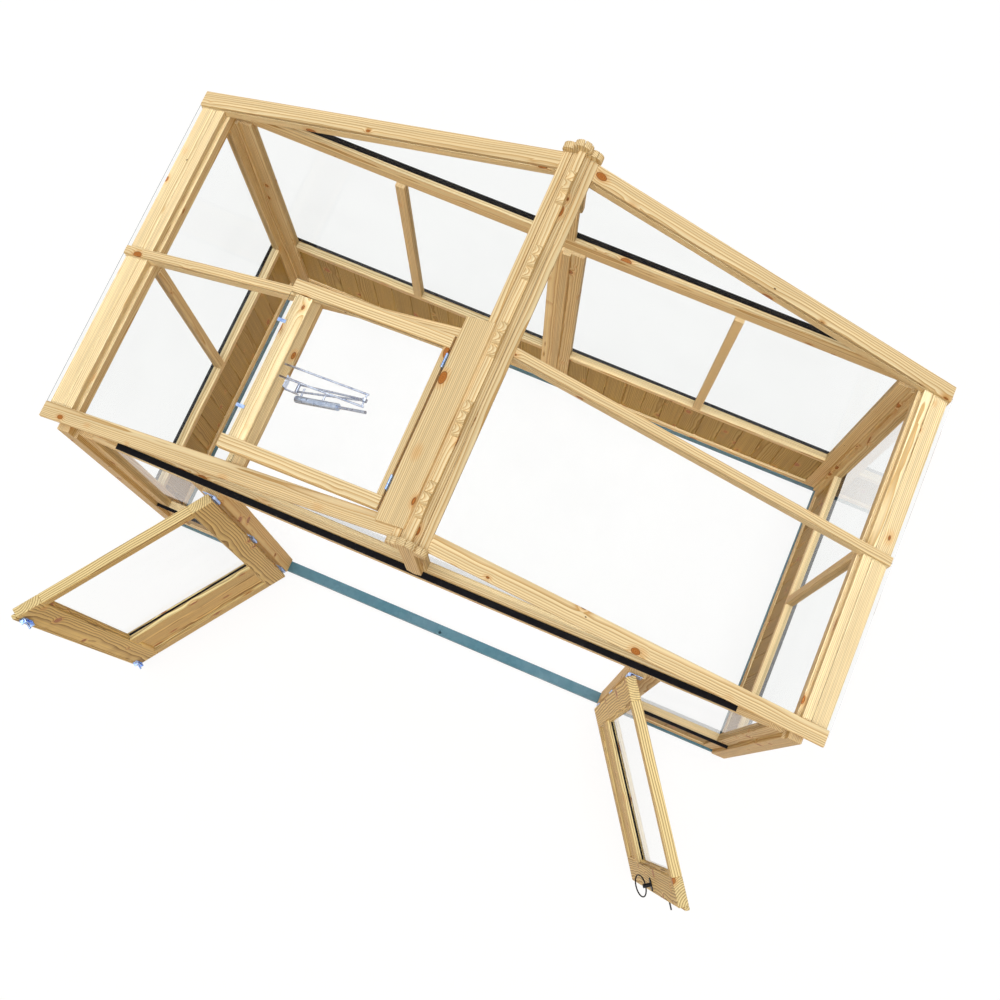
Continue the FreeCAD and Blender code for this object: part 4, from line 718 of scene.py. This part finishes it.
ROOF_PANE = glass_material("roof_pane", FLECK, True)

SIDES = ("front", "back", "left", "right")
# Timber nodes in their order: finish, corner radius in metres and names
TIMBER = [
    (FRAME_PINE, 0.003, ["corner_posts", "door_posts"]),
    (FRAME_PINE, 0.002, ["back_centre_post"] + ["wall_frame_" + side for side in SIDES]),
    # The wall boards take the darker pine, whose darkness is painted shade
    (SHADED_BOARD_PINE, 0.001, ["wall_boards_" + side for side in SIDES]),
    (FRAME_PINE, 0.003, ["wall_plate_left", "wall_plate_right", "tie_beam_front", "tie_beam_back"]),
    (FRAME_PINE, 0.002, ["gable_frame_front", "gable_frame_back", "rafters"]),
    (FRAME_PINE, 0.003, ["rafter_caps", "eave_boards"]),
    (FRAME_PINE, 0.002, ["ridge_beam"]),
    (FRAME_PINE, 0.004, ["vent_board"]),
    (FRAME_PINE, 0.002, ["vent_trimmers"]),
    (FRAME_PINE, 0.003, ["vent_frame"]),
    (DOOR_PINE, 0.003, ["left_door_frame", "right_door_frame"]),
    (PANEL_PINE, 0.001, ["left_door_panel", "right_door_panel"]),
]


def leaf_ways(side):
    """Directions along an open door, through it to its inner face and up; side is -1 left and 1 right."""
    lean = DOOR_SWING - math.pi / 2
    along = (side * math.sin(lean), -math.cos(lean), 0.0)
    deep = (-side * math.cos(lean), -math.sin(lean), 0.0)
    return np.array([along, deep, AXES[2]])


def lapped_stile(timber, points, radius):
    """Adds a meeting stile as its board and the thin lap beside it, both cut from its end outline.

    The long edge of the outline gives the leaf's direction. The board runs to the second of the three
    distances along it, and the lap from there on, as deep as the points at its far end.
    """
    upright = AXES[2]
    low, high = points[:, 2].min(), points[:, 2].max()
    end = points[points[:, 2] - low < DEPTH_STEP]
    along = leaf_ways(np.sign(end[:, 0].mean()))[0]
    deep = np.cross(upright, along)
    far, thick = end @ along, end @ deep
    stops = np.unique(np.round(far / DEPTH_STEP)) * DEPTH_STEP
    lap = thick[far > stops[-1] - DEPTH_STEP]
    for start, stop, near, back in ((stops[0], stops[1], thick.min(), thick.max()),
                                    (stops[1], stops[2], lap.min(), lap.max())):
        outline = np.array([[start, near], [stop, near], [stop, back], [start, back]])
        timber.prism(outline, along, deep, upright, low, high, radius)


def dress_timber(name, seed, finish, radius):
    """Gives every board of a timber node its rounded edges and its own grain."""
    timber = Timber("timber_" + name, seed)
    for points, triangles in split_solids(name):
        straight = [axis for axis in AXES if two_ends(points, axis)]
        straight.sort(key=lambda axis: -spread(points, axis))
        done = False
        for axis in straight:
            outline, across, up, near, far = outline_at(points, axis)
            outline = straightened(outline)
            if is_convex(outline):
                timber.prism(outline, across, up, axis, near, far, radius)
                done = True
                break
        if done:
            continue
        if name.endswith("door_frame"):
            lapped_stile(timber, points, radius)
        else:
            timber.plain(points, triangles)
    return timber.finish(finish, BODY_OF[name], "pine", [name])


timber_seed = 0
for finish, radius, names in TIMBER:
    for name in names:
        timber_seed += 1
        dress_timber(name, timber_seed, finish, radius)

FINIAL_HEAD = np.array([0.0, 0.0, 2.362])
FINIAL_EASE = 0.002
FINIAL_SEED = 101


def dress_finial(name, seed):
    """Gives a gable finial, three round lobes over a hanging board, eased edges and upright grain."""
    timber = Timber("timber_" + name, seed)
    for points, _ in split_solids(name):
        outline, across, up, near, far = outline_at(points, AXES[1], FINIAL_HEAD)
        timber.prism(outline, across, up, AXES[1], near, far, FINIAL_EASE, AXES[[2, 0, 1]], curved=True)
    return timber.finish(FRAME_PINE, BODY_OF[name], "pine", [name])


for number, name in enumerate(("finial_front", "finial_back")):
    dress_finial(name, FINIAL_SEED + number)

LOBE_GROUPS = 5
LOBE_RADIUS = 0.022
LOBE_GAP = 0.040
LOBE_RISE = 0.014
CREST_STRAIGHT = 0.045
CREST_SAMPLE = 0.001
CREST_EASE = 0.0012
CREST_SEED = 111


def dress_crest():
    """Gives the ridge crest its groups of lobes.

    The top line's height is the straight top, or the highest of the circles that stand on it: the
    circle's middle plus the root of its radius squared less the distance squared.
    """
    low, high = (np.array(corner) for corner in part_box("ridge_crest"))
    length = high[1] - low[1]
    top = low[2] + CREST_STRAIGHT
    middles = low[1] + length * (2 * np.arange(LOBE_GROUPS) + 1) / (2 * LOBE_GROUPS)
    shift = np.array([-LOBE_GAP, 0.0, LOBE_GAP])
    rise = np.array([0.0, LOBE_RISE, 0.0])
    centre = (middles[:, None] + shift).ravel()
    stand = np.tile(top + rise, LOBE_GROUPS)
    line = np.arange(high[1], low[1], -CREST_SAMPLE)
    line = np.append(line, low[1])
    inside = LOBE_RADIUS ** 2 - (line[:, None] - centre) ** 2
    circles = np.where(inside > 0, stand + np.sqrt(np.maximum(inside, 0)), top)
    height = np.maximum(circles.max(axis=1), top)
    crown = np.stack([line, height], axis=1)
    foot = np.array([[low[1], low[2]], [high[1], low[2]]])
    timber = Timber("timber_ridge_crest", CREST_SEED)
    timber.prism(np.concatenate([crown, foot]), AXES[1], AXES[2], AXES[0], low[0], high[0], CREST_EASE,
                 AXES[[1, 2, 0]], curved=True)
    return timber.finish(FRAME_PINE, "house", "pine", ["ridge_crest"])


dress_crest()

# The groove across a ridge cap, as shares of its width and thickness, and the rounding of its edges
GROOVE = (0.375, 0.450)
GROOVE_LEVEL = 0.50
CAP_EASE = 0.0015
GROOVE_EASE = 0.0004
CAP_SEED = 121
CAP_STRIPS = [
    (0.0, GROOVE[0], 1.0, CAP_EASE),
    (GROOVE[0], GROOVE[1], GROOVE_LEVEL, GROOVE_EASE),
    (GROOVE[1], 1.0, 1.0, CAP_EASE),
]


def dress_ridge_caps():
    """Gives each ridge cap its long groove: two strips with a lower one between them.

    A point of the cap's section is its crest edge plus a share of the way to its outer edge. The strips
    run from share 0 to the groove, across the groove and from there to share 1.
    """
    timber = Timber("timber_ridge_caps", CAP_SEED)
    for points, _ in split_solids("ridge_caps"):
        outline, across, up, near, far = outline_at(points, AXES[1])
        order = np.lexsort((outline[:, 0], np.round(np.abs(outline[:, 1]) / DEPTH_STEP)))
        inner, outer = outline[order[:2]], outline[order[2:]]
        for start, stop, level, radius in CAP_STRIPS:
            strip = np.concatenate([inner + start * (outer - inner), inner + stop * (outer - inner)])
            strip[1::2] = strip[::2] + level * (strip[1::2] - strip[::2])
            timber.prism(by_angle(strip, strip.mean(axis=0)), across, up, AXES[1], near, far, radius)
    return timber.finish(FRAME_PINE, "house", "pine", ["ridge_caps"])


dress_ridge_caps()


# Beads and strips on the doors

BEAD_STEPS = 6


def node_points(name):
    """The points of a node as rows."""
    return node_triangles(name).reshape(-1, 3)


def node_spans(name, ways):
    """Lowest and highest place of a node along each of three directions."""
    places = node_points(name) @ ways.T
    return np.stack([places.min(axis=0), places.max(axis=0)], axis=1)


def quarter_round(width, height):
    """Bead section: a quarter of an oval and its corner.

    A point is width times the sine and height times the cosine of an angle from 0 to 90 degrees.
    """
    angle = np.linspace(0, np.pi / 2, BEAD_STEPS)
    curve = np.stack([width * np.sin(angle), height * np.cos(angle)], axis=1)
    return np.concatenate([curve, [[0.0, 0.0]]])


def bead_bar(timber, start, stop, inward, outward, section, mitres):
    """One bar of a bead: a section carried from one corner to the next.

    A section point lies its first value inward and its second value outward of the line between the
    corners. At a mitred end it is also moved its first value along the bar, so that two bars meet at 45
    degrees.
    """
    way = (stop - start) / np.linalg.norm(stop - start)
    inset, rise = section[:, :1], section[:, 1:]
    shape = inset * inward + rise * outward
    near = start + mitres[0] * inset * way + shape
    far = stop - mitres[1] * inset * way + shape
    beside = np.roll(np.arange(len(section)), -1)
    quads = np.stack([near, near[beside], far[beside], far], axis=1)
    facing = np.cross(quads[:, 1] - quads[:, 0], quads[:, 3] - quads[:, 0])
    facing /= np.linalg.norm(facing, axis=1)[:, None]
    middle = (near.mean(axis=0) + far.mean(axis=0)) / 2
    away = np.sum(facing * (quads.mean(axis=1) - middle), axis=1) < 0
    quads[away] = quads[away][:, ::-1]
    facing[away] *= -1
    corners = np.concatenate([quads.reshape(-1, 3), near, far])
    count = len(section)
    ends = [np.tile(-way, (count, 1)), np.tile(way, (count, 1))]
    normals = np.concatenate([np.repeat(facing, 4, axis=0), *ends])
    faces = np.arange(4 * count).reshape(-1, 4).tolist()
    faces += [list(range(4 * count, 5 * count)), list(range(5 * count, 6 * count))[::-1]]
    timber.add(corners, faces, normals, np.zeros(len(corners)), np.stack([way, inward, outward]))


def bead_frame(timber, ways, along, high, level, facing, section, foot=True):
    """Beads round an opening on one face of a leaf; with no foot the two upright ones stand square."""
    def spot(across, up):
        return across * ways[0] + level * ways[1] + up * ways[2]

    outward = facing * ways[1]
    (left, right), (low, top) = along, high
    bars = [
        (spot(left, low), spot(left, top), ways[0], (foot, True)),
        (spot(right, low), spot(right, top), -ways[0], (foot, True)),
        (spot(left, top), spot(right, top), -ways[2], (True, True)),
    ]
    if foot:
        bars.append((spot(left, low), spot(right, low), ways[2], (True, True)))
    for start, stop, inward, mitres in bars:
        bead_bar(timber, start, stop, inward, outward, section, mitres)


GLASS_BEAD = quarter_round(0.010, 0.014)
PANEL_BEAD = quarter_round(0.012, 0.010)
FOOT_STRIP = quarter_round(0.005, 0.008)
BEAD_SEED = 131


def bead_door(name, side, seed):
    """Beads round a door's glass and panel, and the black strip at the foot of the glass."""
    ways = leaf_ways(side)
    glass, panel = node_spans(name + "_glass", ways), node_spans(name + "_panel", ways)
    timber = Timber("beads_" + name, seed)
    bead_frame(timber, ways, glass[0], glass[2], glass[1][1], 1, GLASS_BEAD, foot=False)
    bead_frame(timber, ways, panel[0], panel[2], panel[1][1], 1, PANEL_BEAD)
    bead_frame(timber, ways, panel[0], panel[2], panel[1][0], -1, PANEL_BEAD)
    timber.finish(DOOR_PINE, name, "pine", [])
    strip = Timber("foot_strip_" + name, seed)
    inset = GLASS_BEAD[:, 0].max()
    ends = [place * ways[0] + glass[1][1] * ways[1] + glass[2][0] * ways[2]
            for place in (glass[0][0] + inset, glass[0][1] - inset)]
    bead_bar(strip, *ends, ways[2], ways[1], FOOT_STRIP, (0, 0))
    strip.finish(BLACK_STRIP, name, "black_strip", [])


bead_door("left_door", -1, BEAD_SEED)
bead_door("right_door", 1, BEAD_SEED + 1)

# Clips on the edge of the vent's pane

CLIP_INSET = 0.104
CLIP_WIDTH = 0.012
CLIP_THICK = 0.0012
CLIP_TOP = 0.029
CLIP_HOOK = 0.007


def clip_pane():
    """Two bent clips that hold the pane's free edge, each a hooked outline carried across its width."""
    slide = np.array([-math.cos(VENT_SLOPE), 0.0, -math.sin(VENT_SLOPE)])
    rise = np.array([-math.sin(VENT_SLOPE), 0.0, math.cos(VENT_SLOPE)])
    (_, edge), (front, back), (low, top) = node_spans("vent_glass", np.stack([slide, AXES[1], rise]))
    hook = np.array([
        [edge - CLIP_TOP, top + CLIP_THICK],
        [edge - CLIP_TOP, top],
        [edge, top],
        [edge, low],
        [edge - CLIP_HOOK, low],
        [edge - CLIP_HOOK, low - CLIP_THICK],
        [edge + CLIP_THICK, low - CLIP_THICK],
        [edge + CLIP_THICK, top + CLIP_THICK],
    ])
    corners, faces = [], []
    count = len(hook)
    step = np.arange(count)
    beside = np.roll(step, -1)
    for number, middle in enumerate((front + CLIP_INSET, back - CLIP_INSET)):
        flat = hook[:, :1] * slide + hook[:, 1:] * rise
        corners += [flat + (middle + half) * AXES[1] for half in (-CLIP_WIDTH / 2, CLIP_WIDTH / 2)]
        base = 2 * number * count
        sides = base + np.stack([step, beside, count + beside, count + step], axis=1)
        faces += sides.tolist() + [(base + step[::-1]).tolist(), (base + count + step).tolist()]
    mesh = bpy.data.meshes.new("pane_clips")
    mesh.from_pydata(np.concatenate(corners).tolist(), [], faces)
    clips = settle(mesh, ZINC, "vent")
    bevel = clips.modifiers.new("eased", "BEVEL")
    bevel.width = CLIP_THICK / 4
    bevel.segments = 2


clip_pane()

# Screws in hinge leaves and bolt plates

SCREW_RADIUS = 0.0032
SCREW_RISE = 0.0011
SCREW_FALL = 0.85
SLOT_DEPTH = 0.0006
SLOT_HALF = 0.14
# Door hinges lie under this height, and their screws in from the leaf's edge and up from its middle
HINGE_TOP = 2.0
HINGE_SCREWS = ((0.010, -0.032), (0.010, 0.032), (0.024, 0.0))
PLATE_THICK = 0.002
PLATE_SCREW_ACROSS = 0.0075
PLATE_SCREW_UP = 0.018
HINGE_SEED = 141
BOLT_SEED = 142
SCREW_LINES = np.array([-1.0, -0.8, -0.55, -0.3, -0.16, -SLOT_HALF, SLOT_HALF, 0.16, 0.3, 0.55, 0.8, 1.0])


def drive_screws(name, places, facing, body, seed):
    """Slotted screw heads that stand on a plate.

    A square grid of two parameters is rounded off to a disc: each parameter times the root of one less
    half the other one's square. The head's height falls with the square of the distance from its middle,
    and the slot is a fixed depth where the first parameter is small.
    """
    luck = np.random.default_rng(seed)
    first, second = np.meshgrid(SCREW_LINES, SCREW_LINES, indexing="ij")
    across = SCREW_RADIUS * first * np.sqrt(1 - second ** 2 / 2)
    upward = SCREW_RADIUS * second * np.sqrt(1 - first ** 2 / 2)
    share = (across ** 2 + upward ** 2) / SCREW_RADIUS ** 2
    head = SCREW_RISE * (1 - SCREW_FALL * share) - SLOT_DEPTH * (np.abs(first) <= SLOT_HALF)
    head = np.maximum(head, 0.0)
    side = np.cross(AXES[2], facing)
    angles = luck.uniform(0, np.pi, len(places))
    row = np.cos(angles)[:, None] * side + np.sin(angles)[:, None] * AXES[2]
    column = np.cross(facing, row)
    points = places[:, None] + head.ravel()[None, :, None] * facing
    points = points + across.ravel()[None, :, None] * row[:, None]
    points = points + upward.ravel()[None, :, None] * column[:, None]
    lines = len(SCREW_LINES)
    cell = (np.arange(lines - 1)[:, None] * lines + np.arange(lines - 1)).ravel()
    quads = np.stack([cell, cell + lines, cell + lines + 1, cell + 1], axis=1)
    faces = quads[None] + (np.arange(len(places)) * lines ** 2)[:, None, None]
    mesh = bpy.data.meshes.new(name)
    mesh.from_pydata(points.reshape(-1, 3).tolist(), [], faces.reshape(-1, 4).tolist())
    settle(mesh, ZINC, body)


def screw_hinges():
    """Three screws in each hinge leaf on the door posts."""
    places = []
    for points, _ in split_solids("hinges_fixed"):
        reach = np.abs(points[:, 0])
        if points[:, 2].max() > HINGE_TOP:
            continue
        side = np.sign(points[:, 0].mean())
        face = points[reach > reach.max() - DEPTH_STEP][:, 1].min()
        middle = (points[:, 2].min() + points[:, 2].max()) / 2
        for inset, up in HINGE_SCREWS:
            places.append((side * (reach.max() - inset), face, middle + up))
    drive_screws("hinge_screws", np.array(places), -AXES[1], "house", HINGE_SEED)


def screw_bolts():
    """Four screws in each bolt plate on the left door."""
    ways = leaf_ways(-1)
    places = []
    for points, _ in split_solids("left_bolt_plates"):
        low, high = (points @ ways.T).min(axis=0), (points @ ways.T).max(axis=0)
        middle = (low + high) / 2
        for across in (-PLATE_SCREW_ACROSS, PLATE_SCREW_ACROSS):
            for up in (-PLATE_SCREW_UP, PLATE_SCREW_UP):
                places.append(np.array([middle[0] + across, low[1] + PLATE_THICK, middle[2] + up]) @ ways)
    drive_screws("bolt_screws", np.array(places), ways[1], "left_door", BOLT_SEED)


screw_hinges()
screw_bolts()

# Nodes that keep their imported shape
KEPT = [
    (TEAL_PAINT, ["base_rails", "base_threshold"]),
    (BLACK_STRIP, ["drip_strips"]),
    (PANE, ["gable_glass", "left_door_glass", "right_door_glass"] + ["wall_glass_" + side for side in SIDES]),
    (ROOF_PANE, ["roof_glass_left", "roof_glass_right", "vent_glass"]),
    (ZINC, ["hinges_fixed", "left_door_hinges", "right_door_hinges", "vent_hinges"]),
    (ZINC, ["left_bolt_plates", "left_top_bolt", "left_bottom_bolt"]),
    (STEEL, ["vent_bracket", "opener_bracket", "opener_lower_arm", "opener_upper_arm", "opener_piston"]),
    (DARK_METAL, ["opener_cylinder"]),
    (BLACK_IRON, ["right_ring_handle", "right_rosettes"]),
]
for finish, names in KEPT:
    for name in names:
        slots = frame["nodes"][name].data.materials
        slots.clear()
        slots.append(finish)

# Floor, light and camera

WHITE = (1.0, 1.0, 1.0, 1.0)
BEFORE_DULL = 0.5


def seen_share(web):
    """1 for rays from the camera, from a gloss or through glass, and 0 once they have met a dull surface."""
    path = web.node("LightPath")
    seen = web.calc("MAXIMUM", path.outputs["Is Camera Ray"], path.outputs["Is Glossy Ray"])
    seen = web.calc("MAXIMUM", seen, path.outputs["Is Transmission Ray"])
    return web.calc("MULTIPLY", seen, web.calc("LESS_THAN", path.outputs["Diffuse Depth"], BEFORE_DULL))


# The floor: share and strength of its glow, the tones it throws back and shows, its half size and level
FLOOR_GLOW = 0.86
GLOW_STRENGTH = 1.04
FLOOR_TONE = paint(220, 178, 108)
FLOOR_PALE = paint(244, 244, 246)
FLOOR_ROUGH = 0.9
FLOOR_HALF = 30.0
FLOOR_LEVEL = -0.002
AMBIENT = 0.35
AMBIENT_TONE = paint(255, 231, 186)
LAMP_STRENGTH = 2.05
LAMP_TURN = (8.0, -8.0)
LAMP_SPREAD = 50.0
# The camera: degrees of azimuth, elevation and roll, place in metres, sensor width and lens in millimetres
CAMERA_ANGLES = (23.574, 77.458, -0.481)
CAMERA_PLACE = (0.5663, -0.6097, 6.4255)
SENSOR_WIDTH = 36.0
LENS = 48.604


def lay_floor():
    """A wide floor that shows white, keeps a faint shadow and throws back a little warm light."""
    made, web, shader = material_web("pale_floor")
    seen = seen_share(web)
    web.feed(shader.inputs["Base Color"], web.blend(seen, FLOOR_TONE, FLOOR_PALE))
    shader.inputs["Roughness"].default_value = FLOOR_ROUGH
    glow = web.node("Emission")
    glow.inputs["Color"].default_value = WHITE
    glow.inputs["Strength"].default_value = GLOW_STRENGTH
    surface_choice(made, web, web.calc("MULTIPLY", seen, FLOOR_GLOW), shader, glow)
    mesh = bpy.data.meshes.new("floor")
    signs = ((-1, -1), (1, -1), (1, 1), (-1, 1))
    corners = [(across * FLOOR_HALF, back * FLOOR_HALF, FLOOR_LEVEL) for across, back in signs]
    mesh.from_pydata(corners, [], [(0, 1, 2, 3)])
    mesh.materials.append(made)
    floor = bpy.data.objects.new("floor", mesh)
    bpy.context.scene.collection.objects.link(floor)


def light_world():
    """A white surround that gives the object only a soft warm share of its light."""
    world = bpy.data.worlds.new("studio")
    bpy.context.scene.world = world
    world.use_nodes = True
    web = Web(world.node_tree)
    back = next(n for n in world.node_tree.nodes if n.type == "BACKGROUND")
    seen = seen_share(web)
    web.feed(back.inputs["Color"], web.blend(seen, AMBIENT_TONE, WHITE))
    web.feed(back.inputs["Strength"], web.step(seen, 0.0, 1.0, AMBIENT, 1.0))


def hang_lamp(name, strength, turn, spread_angle):
    """A wide sun lamp, turned from straight down about X and then about Z."""
    data = bpy.data.lights.new(name, "SUN")
    data.energy = strength
    data.angle = math.radians(spread_angle)
    lamp = bpy.data.objects.new(name, data)
    lamp.rotation_euler = (math.radians(turn[0]), 0.0, math.radians(turn[1]))
    bpy.context.scene.collection.objects.link(lamp)


def set_camera():
    """The viewpoint: high over the front of the roof, turned a little about its own line of sight."""
    azimuth, elevation, roll = (math.radians(angle) for angle in CAMERA_ANGLES)
    level = math.cos(elevation)
    ahead = np.array([-math.sin(azimuth) * level, math.cos(azimuth) * level, -math.sin(elevation)])
    right = np.array([math.cos(azimuth), math.sin(azimuth), 0.0])
    up = np.cross(right, ahead)
    turned_right = math.cos(roll) * right + math.sin(roll) * up
    turned_up = -math.sin(roll) * right + math.cos(roll) * up
    data = bpy.data.cameras.new("camera")
    data.sensor_width = SENSOR_WIDTH
    data.lens = LENS
    camera = bpy.data.objects.new("camera", data)
    pose = np.eye(4)
    pose[:3] = np.column_stack([turned_right, turned_up, -ahead, CAMERA_PLACE])
    camera.matrix_world = Matrix(pose.tolist())
    bpy.context.scene.collection.objects.link(camera)
    bpy.context.scene.camera = camera


lay_floor()
light_world()
hang_lamp("high_lamp", LAMP_STRENGTH, LAMP_TURN, LAMP_SPREAD)
set_camera()
bpy.context.scene.view_settings.view_transform = "Standard"
